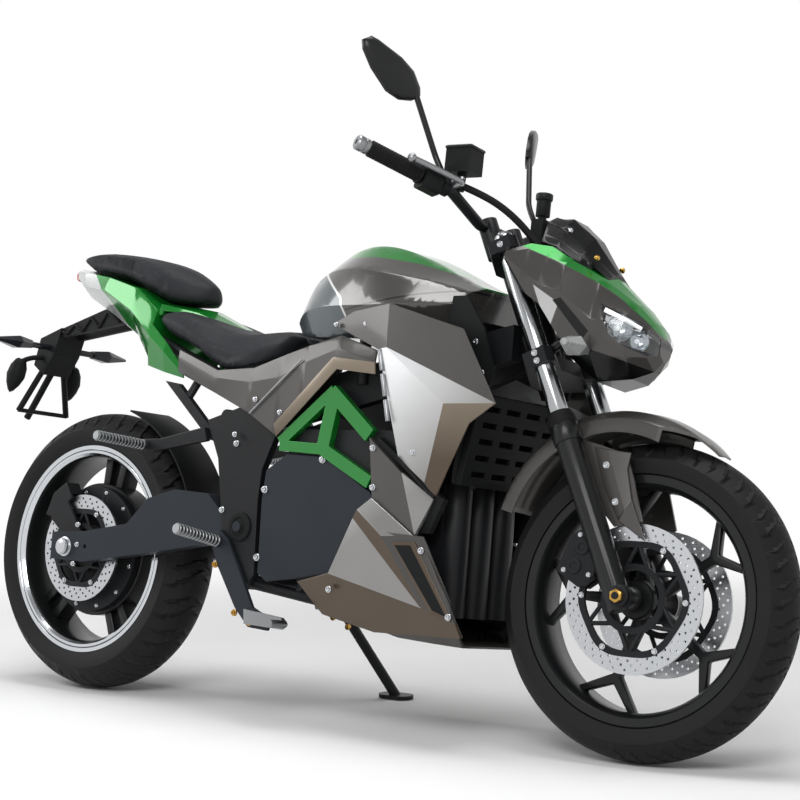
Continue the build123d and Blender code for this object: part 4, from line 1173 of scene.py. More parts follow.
@dataclass
class Fork:
    """Fork and mudguard fittings: leg shields, seals, caps, screws, axle nuts and caliper pistons.

    Args:
        shield: corners of the right-hand shield that runs down beside the leg.
        shield_facets: its facets.
        half: distance of the tubes from the middle.
        axle_lead: how far the axle stands ahead of the tubes.
        leg_top: height of the lower legs above the axle, along the fork.
        tube_top: height of the tubes.
        seal: profile of the dust seals.
        cap: profile of the top caps.
        shield_screws: (x, z) places of the shields' screws.
        clamp_screws: heights of the clamps' screws along the fork.
        washer: profile of the axle's washers.
        stud: profile of the axle's ends.
        caliper_out: distance of the calipers' outer faces from the middle.
        pistons: (x, z) places of the caliper pistons, from the axle.
        piston_radius: their radius.
        caliper_screws: (x, z) places of the calipers' screws.
    """

    shield: Corners = (
        ("a", (1347, -82, 566)), ("b", (1378, -86, 561)), ("c", (1425, -82, 557)), ("d", (1420, -82, 526)),
        ("e", (1434, -82, 471)), ("f", (1468, -81, 396)), ("g", (1410, -82, 431)), ("h", (1374, -82, 494)),
        ("r", (1424, -88, 450)),
    )
    shield_facets: Facets = (("abrgh", 0), ("bcder", 0), ("refg", 0))
    half: float = 100.0
    axle_lead: float = 14.0
    leg_top: float = 345.0
    tube_top: float = 745.0
    seal: Outline = (
        (0, 18.7), (0, 26.5), (5, 27.5), (16, 27.5), (20, 25.0), (27, 22.5), (28, 18.7), (0, 18.7),
    )
    cap: Outline = ((0, 0), (0, 17.5), (3, 17.5), (5, 15.5), (5, 11), (10, 10), (10, 4), (7, 3.5), (7, 0))
    shield_screws: Outline = ((1378, 532), (1403, 465))
    clamp_screws: tuple[float, ...] = (476.0, 492.0, 724.0)
    washer: Outline = ((0, 0), (0, 19), (3, 19), (4.5, 17), (4.5, 0))
    stud: Outline = ((0, 7), (4, 6.5), (5, 5), (5, 0))
    caliper_out: float = 95.5
    pistons: Outline = ((-112, 50), (-98, 86))
    piston_radius: float = 15.0
    caliper_screws: Outline = ((-132, 42), (-80, 36), (-78, 96), (-104, 108))

    def at(self, along: float, side: float, ahead: float = 0.0) -> Vector:
        """Point in the fork's own directions, measured from the axle; the tubes stand behind it."""
        return FRONT_AXLE + FORK_UP * along + FORK_AHEAD * (ahead - self.axle_lead) + Vector((0, side, 0))

    def build(self, shop: Workshop) -> None:
        """Model and place the fittings."""
        shields = Shape().facets(dict(self.shield), dict(self.shield_facets)).mirrored()
        shop.place("leg_shields", shields, Body.FRONT, "body_gunmetal", [GUNMETAL], smooth_deg=9)
        seals = Shape().lathe(self.seal, self.at(self.leg_top, -self.half), FORK_UP).mirrored()
        shop.place("fork_seals", seals, Body.FRONT, "grip_rubber", [GRIP_RUBBER])
        caps = Shape().lathe(self.cap, self.at(self.tube_top, -self.half), FORK_UP, 32).mirrored()
        shop.place("fork_caps", caps, Body.FRONT, "alloy", [SATIN_ALLOY])
        screws = Shape().bolts(self.shield_screws, 84.5, 7.0)
        for along in self.clamp_screws:
            screws.bolt(self.at(along, -126.0), RIGHT, 6.5)
        screws.bolt((1239, -55, 984), (0.2, -0.6, 0.8), 6.0)
        shop.place("fork_screws", screws.mirrored(), Body.FRONT, "bright_steel", [ZINC])
        nuts = Shape().lathe(self.washer, FRONT_AXLE + RIGHT * 127, RIGHT, 32)
        nuts.bar(FRONT_AXLE + RIGHT * 130, FRONT_AXLE + RIGHT * 142, 13.0, 1.2, 6, 1)
        nuts.lathe(self.stud, FRONT_AXLE + RIGHT * 141, RIGHT, 24)
        finishes = [BLASTED_GRAPHITE, BRASS]
        shop.place("front_axle_nuts", nuts.mirrored(), Body.FRONT, "bright_steel", finishes)
        self.calipers(shop)

    def calipers(self, shop: Workshop) -> None:
        """Fit the calipers' pistons and screws."""
        size = self.piston_radius
        piston = [(-1, size), (2, size), (3.5, size - 2), (3.5, 8), (1.5, 6), (1.5, 0)]
        pistons = Shape()
        for x, z in self.pistons:
            pistons.lathe(piston, FRONT_AXLE + Vector((x, -self.caliper_out, z)), RIGHT, 32)
        for x, z in self.caliper_screws:
            pistons.bolt(FRONT_AXLE + Vector((x, -self.caliper_out, z)), RIGHT, 5.0, 1)
        finishes = [BLASTED_GRAPHITE, ZINC]
        shop.place("caliper_pistons", pistons.mirrored(), Body.FRONT, "trim_black", finishes)


@dataclass
class Cockpit:
    """What the rider's hands and eyes meet: grips, bar ends, levers, mirrors and the two cables.

    Args:
        leaf: outline of a mirror, outwards and up from its joint.
        joint: the mirror's joint.
        yaw_deg: how far the mirror is toed in.
        half_thick: half its thickness at the rim.
        dome: steps of the back's crown, as inset and rise.
        route: the right-hand cable's points.
        cable_radius: its radius.
        cable_length: its length; not used.
        reservoir: foot of the right-hand fluid reservoir.
        collar: profile of the grips' inner collars.
        weight: profile of the bar ends.
        filler: profile of the left-hand reservoir's cap.
        boot: profile of the boots at the feet of the mirrors' stems.
        ball_radius: radius of the levers' ball ends.
    """

    leaf: Outline = (
        (108, 86), (92, 96), (74, 92), (20, 71), (-10, 51), (-28, 22), (-30, 6), (-14, -6), (14, -10),
        (44, 0), (82, 36), (104, 68),
    )
    joint: Vector = Vector((961.0, -248.0, 1210.44)).freeze()
    yaw_deg: float = 26.0
    half_thick: float = 9.0
    dome: Outline = ((3.0, 3.0), (5.0, 2.6), (6.0, 1.6))
    route: tuple[Place, ...] = (
        (1058.0, -163.0, 1048.44), (1096.0, -138.0, 1034.44), (1142.0, -110.0, 1002.44),
        (1180.0, -82.0, 958.44), (1218.0, -72.0, 910.44), (1264.0, -72.0, 884.44),
    )
    cable_radius: float = 7.0
    cable_length: float = 0.285
    reservoir: Vector = Vector((FRONT_AXLE.x - 396, -165.0, FRONT_AXLE.z + 782)).freeze()
    collar: Outline = ((0, 0), (0, 16), (1.5, 19), (6, 19), (8, 16), (8, 0))
    weight: Outline = (
        (0, 0), (0, 14), (2, 15), (9, 15), (10, 13.5), (12, 13.5), (13, 15), (23, 15), (26, 12.5), (26, 5),
        (21, 4.5), (21, 0),
    )
    filler: Outline = ((0, 15.2), (0, 17), (2, 18), (12, 18), (14, 16), (14, 9), (16, 8), (16, 0))
    boot: Outline = ((0, 9), (0, 11), (6, 12), (14, 10), (16, 11), (30, 9), (34, 6))
    ball_radius: float = 9.0

    def grips(self, shop: Workshop) -> None:
        """Turn the ribbed grips and the stepped bar ends."""
        inner = BAR_END + GRIP_RUN * 112
        grip = Shape().ribbed(BAR_END + GRIP_RUN * 4, inner, 16.5, 6.0, 0.7)
        grip.lathe(self.collar, inner, GRIP_RUN, 32)
        shop.place("ribbed_grips", grip.mirrored(), Body.FRONT, "grip_rubber", [GRIP_RUBBER], "grips")
        ends = Shape().lathe(self.weight, BAR_END, -GRIP_RUN, 40).mirrored()
        shop.place("bar_weights", ends, Body.FRONT, "alloy", [SATIN_ALLOY], "bar_ends")

    def levers(self, shop: Workshop) -> None:
        """Bend the levers, each with its ball end."""
        clamp = BAR_END + GRIP_RUN * 174 + Vector((14, 6, 4))
        root = BAR_END + GRIP_RUN * 158 + Vector((46, 14, 4))
        tip = BAR_END + GRIP_RUN * 16 + Vector((62, 34, -6))
        turns = [math.pi * (i / 8 - 0.5) for i in range(9)]
        ball = [(self.ball_radius * math.sin(turn), self.ball_radius * math.cos(turn)) for turn in turns]
        lever = Shape().bar(clamp, root, 8.0).wire((root, root.lerp(tip, 0.3) + Vector((5, 4, 0)), tip), 6.0)
        lever.lathe(ball, tip, tip - root, 24).bolt(root + Vector((0, 0, 7)), (0, 0, 1), 5.0)
        shop.place("lever_blades", lever.mirrored(), Body.FRONT, "alloy", [SATIN_ALLOY], "levers")

    def reservoirs(self, shop: Workshop) -> None:
        """Cap the two fluid reservoirs: a stepped lid with its screws, and a turned cap."""
        lid = bmesh.new()
        bmesh.ops.create_grid(lid, x_segments=1, y_segments=1, size=0.5)
        place = Matrix.Translation(self.reservoir + Vector((2, 0, 45))) @ Matrix.Diagonal((60, 54, 1, 1))
        move(lid, place)
        top = push(lid, lid.faces[:], (0, 0, 5))
        crown = next(face for face in top if isinstance(face, bmesh.types.BMFace))
        bmesh.ops.inset_region(lid, faces=[crown], thickness=7.0, use_even_offset=True)
        bmesh.ops.translate(lid, verts=crown.verts[:], vec=(0, 0, 3))
        face_out(lid)
        round_edges(lid, 1.5)
        caps = Shape().join(lid)
        for x, y in ((-22, -21), (-22, 21), (26, -21), (26, 21)):
            caps.bolt(self.reservoir + Vector((x, y, 50)), (0, 0, 1), 3.5, 1)
        left = Vector((self.reservoir.x, -self.reservoir.y, self.reservoir.z))
        caps.lathe(self.filler, left + Vector((0, 0, 30)), (0, 0, 1), 24)
        shop.place("reservoir_caps", caps, Body.FRONT, "trim_black", [POWDER_BLACK, ZINC])

    def mirrors(self, shop: Workshop) -> None:
        """Model the domed mirrors with their glass, stems and boots."""
        yaw = math.radians(self.yaw_deg)
        out, back = Vector((-math.sin(yaw), -math.cos(yaw), 0)), Vector((-math.cos(yaw), math.sin(yaw), 0))
        part = bmesh.new()
        rear = self.joint + back * self.half_thick
        glass = part.faces.new([part.verts.new(rear + out * a + Vector((0, 0, b))) for a, b in self.leaf])
        made = push(part, [glass], back * -self.half_thick)
        crown = next(face for face in made if isinstance(face, bmesh.types.BMFace))
        for inset, rise in self.dome:
            bmesh.ops.inset_region(part, faces=[crown], thickness=inset, use_even_offset=True)
            bmesh.ops.translate(part, verts=crown.verts[:], vec=back * -rise)
        bmesh.ops.inset_region(part, faces=[glass], thickness=3.0, use_even_offset=True)
        bmesh.ops.translate(part, verts=glass.verts[:], vec=back * -1.5)
        face_out(part)
        glass.material_index = 1
        root, foot = Vector((1046, -182, 1031.44)), Vector((1008, -182, 1085.44))
        bend = foot.lerp(self.joint, 0.4) + Vector((4, 8, 0))
        neck = self.joint + out * -20 + Vector((0, 0, 6))
        mirror = Shape().join(part).wire((root, foot, bend, neck), 6.0)
        mirror.lathe(self.boot, root, foot - root, 24).mirrored()
        finishes = [GLOSS_BLACK, MIRROR_GLASS]
        shop.place("mirror_heads", mirror, Body.FRONT, "trim_black", finishes, "mirrors", smooth_deg=50)

    def cables(self, shop: Workshop) -> None:
        """Lay the two cables from the bars into the nose."""
        for side, name in ((1.0, "right"), (-1.0, "left")):
            points = [shop.stance.front @ Vector((x, y * side, z)) for x, y, z in self.route]
            cable = smooth_line(f"cable_{name}", points, self.cable_radius * MM)
            cable.data.materials.append(GRIP_RUBBER.material(shop.stance))
            shop.enter(cable, Body.FRONT, "grip_rubber", f"loom_{name}")

    def build(self, shop: Workshop) -> None:
        """Model and place everything on the bars."""
        self.cables(shop)
        self.grips(shop)
        self.levers(shop)
        self.reservoirs(shop)
        self.mirrors(shop)


@dataclass
class Nose:
    """Headlamps: thin clear covers with bowls and a light bar behind them, and the visor's screws.

    Args:
        wall: thickness of the covers.
        bowls: centre and radius of each reflector bowl on the right.
        beam: the way they face.
        brow: points of the light bar.
        bowl: profile of a bowl of radius 1.
        bulb: profile of the bulb in it.
        screw: place of the visor's right-hand screw.
    """

    wall: float = 2.5
    bowls: tuple[tuple[Place, float], ...] = (
        ((1374.0, -78.0, 790.0), 25.0), ((1402.0, -50.0, 770.0), 19.0),
    )
    beam: Place = (0.72, -0.68, -0.1)
    brow: tuple[Place, ...] = ((1352.0, -100.0, 820.0), (1384.0, -84.0, 806.0), (1412.0, -62.0, 790.0))
    bowl: Outline = (
        (-0.55, 0.12), (-0.5, 0.4), (-0.3, 0.7), (0.05, 0.92), (0.25, 0.97), (0.25, 1.0), (0.0, 0.98),
        (-0.6, 0.5), (-0.65, 0.0),
    )
    bulb: Outline = ((-0.5, 0.22), (-0.2, 0.2), (-0.1, 0.12), (-0.06, 0.0))
    screw: Place = (1302.0, -55.0, 929.0)

    def covers(self, shop: Workshop) -> Shape:
        """Take the lamps' outer faces as thin moulded covers."""
        part = bmesh.new()
        part.from_mesh(shop.frame["nodes"]["headlamps"].data)
        move(part, shop.stance.front.inverted())
        weld(part, 0.02)
        inner = [face for face in part.faces if face.normal.y * face.calc_center_median().y < 6.0]
        bmesh.ops.delete(part, geom=inner, context="FACES")
        bmesh.ops.solidify(part, geom=part.faces[:], thickness=self.wall)
        face_out(part)
        return Shape().join(part)

    def build(self, shop: Workshop) -> None:
        """Model and place the lamps and screws."""
        shop.place("lamp_covers", self.covers(shop), Body.FRONT, "lamp_clear", [CLEAR_LENS], "headlamps")
        bowls = Shape()
        for centre, size in self.bowls:
            bowls.lathe([(a * size, r * size) for a, r in self.bowl], centre, self.beam, 40)
            bowls.lathe([(a * size, r * size) for a, r in self.bulb], centre, self.beam, 24, 1)
        bowls.wire(self.brow, 4.5, 1)
        shop.place("lamp_bowls", bowls.mirrored(), Body.FRONT, "chrome", [METALLISED, LIGHT_GUIDE])
        screws = Shape().bolt(self.screw, (0.35, -0.6, 0.75), 6.0).mirrored()
        shop.place("visor_screws", screws, Body.FRONT, "alloy", [BRASS])


@dataclass
class Bodywork:
    """Faceted panels over the battery: shrouds, air guides, belly sides, trims and their screws.

    Args:
        shroud: corners of the right-hand shroud.
        shroud_facets: its facets, each with the number of its finish.
        guide: corners of the air guide.
        guide_facets: its facets.
        belly: corners of the belly pan's side.
        belly_facets: its facets.
        slot: corners of the belly's black slot and its frame.
        slot_facets: its facets.
        bevel: corners of the strip along the side cover's upper edge.
        bevel_facets: its facets.
        grille_tilt_deg: how far the grille leans.
        core_centre: middle of the radiator core behind the grille.
        core_size: its height and width.
        screw_rows: (x, z) places, distance from the middle and radius of the screws of each panel.
    """

    shroud: Corners = (
        ("A", (761, -152, 798)), ("B", (822, -156, 823)), ("C", (921, -170, 834)), ("D", (1046, -177, 798)),
        ("E", (1115, -180, 779)), ("F", (1209, -188, 636)), ("G", (1147, -183, 598)),
        ("H", (1073, -174, 457)), ("I", (967, -164, 532)), ("J", (896, -164, 743)), ("K", (935, -187, 744)),
        ("L", (1095, -199, 634)), ("P", (1051, -182, 484)),
    )
    shroud_facets: Facets = (
        ("ABCKJ", 0), ("CDEFK", 0), ("KFL", 1), ("JKLPI", 1), ("LFGP", 2), ("GHP", 2), ("PHI", 0),
    )
    guide: Corners = (
        ("a", (886, -158, 571)), ("b", (982, -168, 503)), ("c", (1057, -157, 456)), ("d", (1025, -168, 383)),
        ("e", (904, -158, 450)),
    )
    guide_facets: Facets = (("abde", 0), ("bcd", 1))
    belly: Corners = (
        ("a", (886, -179, 427)), ("b", (909, -165, 452)), ("c", (1027, -173, 383)), ("d", (959, -187, 378)),
        ("e", (877, -179, 410)), ("f", (822, -176, 299)), ("g", (1070, -187, 247)), ("i", (1048, -177, 382)),
        ("j", (1143, -175, 223)), ("k", (1144, -156, 196)), ("l", (795, -151, 217)), ("m", (736, -168, 278)),
        ("n", (929, -150, 192)),
    )
    belly_facets: Facets = (
        ("abcd", 1), ("adge", 2), ("egf", 1), ("dcijg", 0), ("mfgjknl", 2),
    )
    slot: Corners = (
        ("a", (984, -186.5, 369)), ("b", (1036, -181, 371)), ("c", (1136, -178, 229)),
        ("d", (1091, -186.5, 238)), ("e", (994, -187, 362)), ("f", (1029, -183, 364)),
        ("g", (1124, -180, 235)), ("h", (1096, -187, 245)),
    )
    slot_facets: Facets = (("abfe", 0), ("bcgf", 0), ("cdhg", 0), ("daeh", 0), ("efgh", 1))
    bevel: Corners = (
        ("a", (641, -161, 567)), ("b", (796, -168, 704)), ("c", (900, -172, 693)), ("d", (900, -176, 716)),
        ("e", (788, -172, 728)), ("f", (634, -164, 592)),
    )
    bevel_facets: Facets = (("abef", 0), ("bcde", 0))
    grille_tilt_deg: float = 11.5
    core_centre: Place = (1110.0, 0.0, 573.6)
    core_size: tuple[float, float] = (170.0, 288.0)
    screw_rows: tuple[tuple[Outline, float, float], ...] = (
        (((613, 459), (606, 320), (763, 524)), 149.0, 8.0),
        (((900, 549), (907, 472)), 160.0, 7.0),
        (((832, 268), (1054, 355), (1130, 235)), 180.0, 7.0),
        (((1132, 700), (1112, 760)), 134.0, 6.0),
        (((574, 643), (645, 617), (524, 570)), 158.0, 6.0),
        (((857, 795), (780, 795)), 160.0, 5.0),
        (((1013, 541),), 176.0, 6.0),
    )

    def panels(self, shop: Workshop) -> None:
        """Mould the faceted panels."""
        # Finish 1 is a painted highlight: the facets that catch the light are painted near-white, fading to
        # grey lower down
        paints = [GUNMETAL, PAINTED_HIGHLIGHT_FLAKE, BRONZE_FLAKE]
        shroud = Shape().facets(dict(self.shroud), dict(self.shroud_facets)).mirrored()
        shop.place(
            "shroud_panels", shroud, Body.CHASSIS, "body_gunmetal", paints, "tank_shrouds", smooth_deg=9
        )
        guide = Shape().facets(dict(self.guide), dict(self.guide_facets), 10.0).mirrored()
        shop.place("guide_panels", guide, Body.CHASSIS, "body_gunmetal", paints, smooth_deg=9)
        belly = Shape().facets(dict(self.belly), dict(self.belly_facets), 8.0).mirrored()
        shop.place("belly_panels", belly, Body.CHASSIS, "body_gunmetal", paints, smooth_deg=9)
        slot = Shape().facets(dict(self.slot), dict(self.slot_facets), 3.0, 0.6).mirrored()
        finishes = [BRONZE_FLAKE, GRAINED_BLACK]
        shop.place("belly_slots", slot, Body.CHASSIS, "trim_black", finishes, smooth_deg=9)

    def core(self, shop: Workshop) -> None:
        """Fold the finned radiator core that closes the grille from behind."""
        part = bmesh.new()
        bmesh.ops.create_grid(part, x_segments=6, y_segments=48, size=0.5)
        tilt = Matrix.Rotation(math.radians(90.0 + self.grille_tilt_deg), 4, "Y")
        place = Matrix.Translation(self.core_centre) @ tilt @ Matrix.Diagonal((*self.core_size, 1.0, 1.0))
        bmesh.ops.inset_individual(part, faces=part.faces[:], thickness=0.006, depth=-2.0)
        move(part, place)
        bmesh.ops.solidify(part, geom=part.faces[:], thickness=4.0)
        face_out(part)
        shop.place("grille_core", Shape().join(part), Body.CHASSIS, "trim_black", [GRAINED_BLACK])

    def trims(self, shop: Workshop) -> None:
        """Add the trims: bars on the shrouds' edges, seams, and the side covers' bevels."""
        trim = Shape()
        edge = Vector((909, -174, 742)), Vector((945, -176, 600))
        for near, far in ((0.0, 0.3), (0.34, 0.66), (0.7, 1.0)):
            trim.bar(edge[0].lerp(edge[1], near), edge[0].lerp(edge[1], far), 5.0, 1.5, 8)
        trim.wire(((561, -159, 614), (628, -162, 670), (695, -160, 725)), 1.8)
        trim.wire(((967, -168, 532), (1020, -172, 493), (1073, -176, 457)), 3.5, 1)
        shop.place("panel_trims", trim.mirrored(), Body.CHASSIS, "trim_black", [SATIN_ALLOY, GRAINED_BLACK])
        strip = Shape().facets(dict(self.bevel), dict(self.bevel_facets), 4.0, 1.0).mirrored()
        shop.place("side_cover_bevels", strip, Body.CHASSIS, "body_gunmetal", [BRONZE_FLAKE])

    def screws(self, shop: Workshop) -> None:
        """Drive the screws that hold the panels."""
        screws = Shape()
        for places, out, radius in self.screw_rows:
            screws.bolts(places, out, radius)
        shop.place("panel_screws", screws.mirrored(), Body.CHASSIS, "bright_steel", [ZINC])

    def build(self, shop: Workshop) -> None:
        """Model and place the panels, trims and screws."""
        self.panels(shop)
        self.core(shop)
        self.trims(shop)
        self.screws(shop)


@dataclass
class Seats:
    """Rider's and passenger's pads: foam under stretched vinyl, swollen by simulation.

    Args:
        voxel_mm: grain of the simulated skin.
        shrink_mm: how much smaller the pad starts.
        cap_mm: farthest that a point may move.
        pressure: what fills the pad.
        frames: length of the simulation.
    """

    voxel_mm: float = 6.0
    shrink_mm: float = 2.0
    cap_mm: float = 8.0
    pressure: float = 4.0
    frames: int = 20

    def bake(self, piece: bpy.types.Object) -> None:
        """Make what the modifiers show the piece's own mesh."""
        view = piece.evaluated_get(bpy.context.evaluated_depsgraph_get())
        data = bpy.data.meshes.new_from_object(view)
        piece.modifiers.clear()
        piece.data = data

    def swell(self, piece: bpy.types.Object) -> None:
        """Blow the pad up as cloth and hold each point near its start."""
        start = [corner.co.copy() for corner in piece.data.vertices]
        cloth = piece.modifiers.new("swell", "CLOTH")
        cloth.settings.use_pressure = True
        cloth.settings.uniform_pressure_force = self.pressure
        cloth.settings.effector_weights.gravity = 0.0
        cloth.point_cache.frame_end = self.frames
        for frame in range(1, self.frames + 1):
            bpy.context.scene.frame_set(frame)
        self.bake(piece)
        bpy.context.scene.frame_set(1)
        for corner, before in zip(piece.data.vertices, start):
            shift = corner.co - before
            corner.co = before + shift * min(1.0, self.cap_mm * MM / max(shift.length, MM * 0.01))

    def pad(self, shop: Workshop, node: str, name: str) -> None:
        """Make one padded piece in the place of a seat's solid.

        Args:
            shop: the workshop.
            node: the seat's solid.
            name: the new piece's name.
        """
        mesh = bmesh.new()
        mesh.from_mesh(shop.frame["nodes"][node].data)
        weld(mesh, 0.00005)
        data = bpy.data.meshes.new(name)
        mesh.to_mesh(data)
        mesh.free()
        piece = shop.enter(bpy.data.objects.new(name, data), Body.CHASSIS, "seat_vinyl", node)
        remesh = piece.modifiers.new("skin", "REMESH")
        remesh.mode = "VOXEL"
        remesh.voxel_size = self.voxel_mm * MM
        self.bake(piece)
        mesh = bmesh.new()
        mesh.from_mesh(piece.data)
        for _ in range(3):
            bmesh.ops.smooth_vert(
                mesh, verts=mesh.verts[:], factor=0.5, use_axis_x=True, use_axis_y=True, use_axis_z=True
            )
        mesh.normal_update()
        for corner in mesh.verts:
            corner.co -= corner.normal * self.shrink_mm * MM
        mesh.to_mesh(piece.data)
        mesh.free()
        self.swell(piece)
        piece.data.materials.clear()
        piece.data.materials.append(SEAT_VINYL.material(shop.stance))
        piece.data.shade_smooth()
        finer = piece.modifiers.new("finer", "SUBSURF")
        finer.levels = finer.render_levels = 1

    def build(self, shop: Workshop) -> None:
        """Make both pads."""
        self.pad(shop, "rider_seat", "rider_pad")
        self.pad(shop, "pillion_seat", "passenger_pad")


@dataclass
class RunningGear:
    """Frame and swing arm fittings: pivot caps, screws, pegs, axle nuts and the shock's spring.

    Args:
        shock_low: lower end of the spring.
        shock_high: its upper end.
        coil_radius: radius of the coil's middle line.
        coil_wire: radius of the wire.
        turns: turns of the coil.
        pivot: middle of the right-hand pivot cap.
        cap: its profile.
        screw_rows: (x, z) places, distance from the middle, radius and finish of each group of screws.
    """

    shock_low: Vector = Vector((392.0, 0.0, 475.0)).freeze()
    shock_high: Vector = Vector((444.0, 0.0, 566.0)).freeze()
    coil_radius: float = 25.0
    coil_wire: float = 5.0
    turns: float = 5.5
    pivot: Place = (549.0, -146.0, 380.0)
    cap: Outline = ((-2, 0), (-2, 30), (3, 30), (5, 27), (5, 20), (3, 18), (3, 12), (6, 10), (6, 0))
    screw_rows: tuple[tuple[Outline, float, float, int], ...] = (
        (((36, 363), (39, 319), (31, 276)), 126.0, 6.0, 1),
        (((494, 413), (509, 352), (520, 552)), 146.0, 7.0, 1),
        (((497, 299), (562, 204), (606, 187)), 156.0, 7.0, 2),
    )

    def shock(self, shop: Workshop) -> None:
        """Wind the spring round the damper."""
        axis = (self.shock_high - self.shock_low).normalized()
        side = axis.orthogonal().normalized()
        wire = bmesh.new()
        turn = Matrix((side, axis, side.cross(axis))).transposed().to_4x4()
        place = Matrix.Translation(self.shock_low + side * self.coil_radius) @ turn
        bmesh.ops.create_circle(wire, cap_ends=False, segments=10, radius=self.coil_wire, matrix=place)
        steps = int(self.turns * 20)
        climb = axis * ((self.shock_high - self.shock_low).length / steps)
        bmesh.ops.spin(
            wire, geom=wire.verts[:] + wire.edges[:], cent=self.shock_low, axis=axis, dvec=climb,
            angle=math.tau * self.turns, steps=steps,
        )
        face_out(wire)
        shock = Shape().join(wire, 1).bar((372, 0, 436), (464, 0, 602), 13.0, 2.0)
        shock.bar(self.shock_low - axis * 6, self.shock_low, 30.0, 2.0, 40)
        shock.bar(self.shock_high, self.shock_high + axis * 6, 30.0, 2.0, 40)
        finishes = [BLASTED_GRAPHITE, SPRING_COAT]
        shop.place("coil_shock", shock, Body.CHASSIS, "shock_spring", finishes, "rear_shock")

    def pegs(self, shop: Workshop) -> None:
        """Turn the footpegs."""
        rider = Shape().ribbed((500, -158, 347), (500, -282, 366), 12.0, 9.0, 2.0).mirrored()
        shop.place("ribbed_rider_pegs", rider, Body.CHASSIS, "alloy", [SATIN_ALLOY], "rider_pegs")
        guest = Shape().ribbed((258, -160, 543), (254, -296, 550), 11.0, 9.0, 2.0).mirrored()
        shop.place("ribbed_passenger_pegs", guest, Body.CHASSIS, "alloy", [SATIN_ALLOY], "passenger_pegs")

    def fittings(self, shop: Workshop) -> None:
        """Add the pivot caps, axle nuts and screws."""
        caps = Shape().lathe(self.cap, self.pivot, RIGHT, 48)
        caps.bar(REAR_AXLE + RIGHT * 124, REAR_AXLE + RIGHT * 129, 22.0, 1.0, 32, 1)
        caps.bar(REAR_AXLE + RIGHT * 128, REAR_AXLE + RIGHT * 140, 17.0, 1.5, 6, 1)
        for places, out, radius, tone in self.screw_rows:
            caps.bolts(places, out, radius, tone)
        finishes = [GRAINED_BLACK, ZINC, BRASS]
        shop.place("frame_fittings", caps.mirrored(), Body.CHASSIS, "bright_steel", finishes)

    def build(self, shop: Workshop) -> None:
        """Model and place the running gear."""
        self.shock(shop)
        self.pegs(shop)
        self.fittings(shop)


@dataclass
class Tail:
    """Plate hanger fittings: the hanging pods with their stalks, and the ribs of the arm.

    Args:
        pod_top: where the right-hand pod hangs.
        pod_axis: the way that it points.
        pod: its turned profile.
        stalk: where its stalk leaves the hanger.
        ribs: (x, z) joints of the ribs that zigzag along the arm.
        arm_out: distance of the arm's outer face from the middle.
    """

    pod_top: Vector = Vector((-258.0, -82.0, 744.0)).freeze()
    pod_axis: Place = (-0.25, -0.12, -0.96)
    pod: Outline = (
        (0, 0), (0, 8), (4, 13), (20, 20), (42, 22), (62, 16), (78, 7), (84, 0),
    )
    stalk: Place = (-232.0, -34.0, 752.0)
    ribs: Outline = (
        (14, 834), (-28, 858), (-52, 822), (-82, 845), (-108, 814), (-136, 830), (-160, 808), (-182, 816),
    )
    arm_out: float = 35.0

    def build(self, shop: Workshop) -> None:
        """Model and place the fittings."""
        pods = Shape().lathe(self.pod, self.pod_top, self.pod_axis, 32)
        pods.wire((self.stalk, self.pod_top + Vector((14, 14, 8)), self.pod_top + Vector((-2, 0, -8))), 6.0)
        for (x, z), (u, v) in zip(self.ribs, self.ribs[1:]):
            pods.bar((x, -self.arm_out, z), (u, -self.arm_out, v), 4.0, 1.0, 8)
        shop.place("hanger_fittings", pods.mirrored(), Body.CHASSIS, "trim_black", [GRAINED_BLACK])


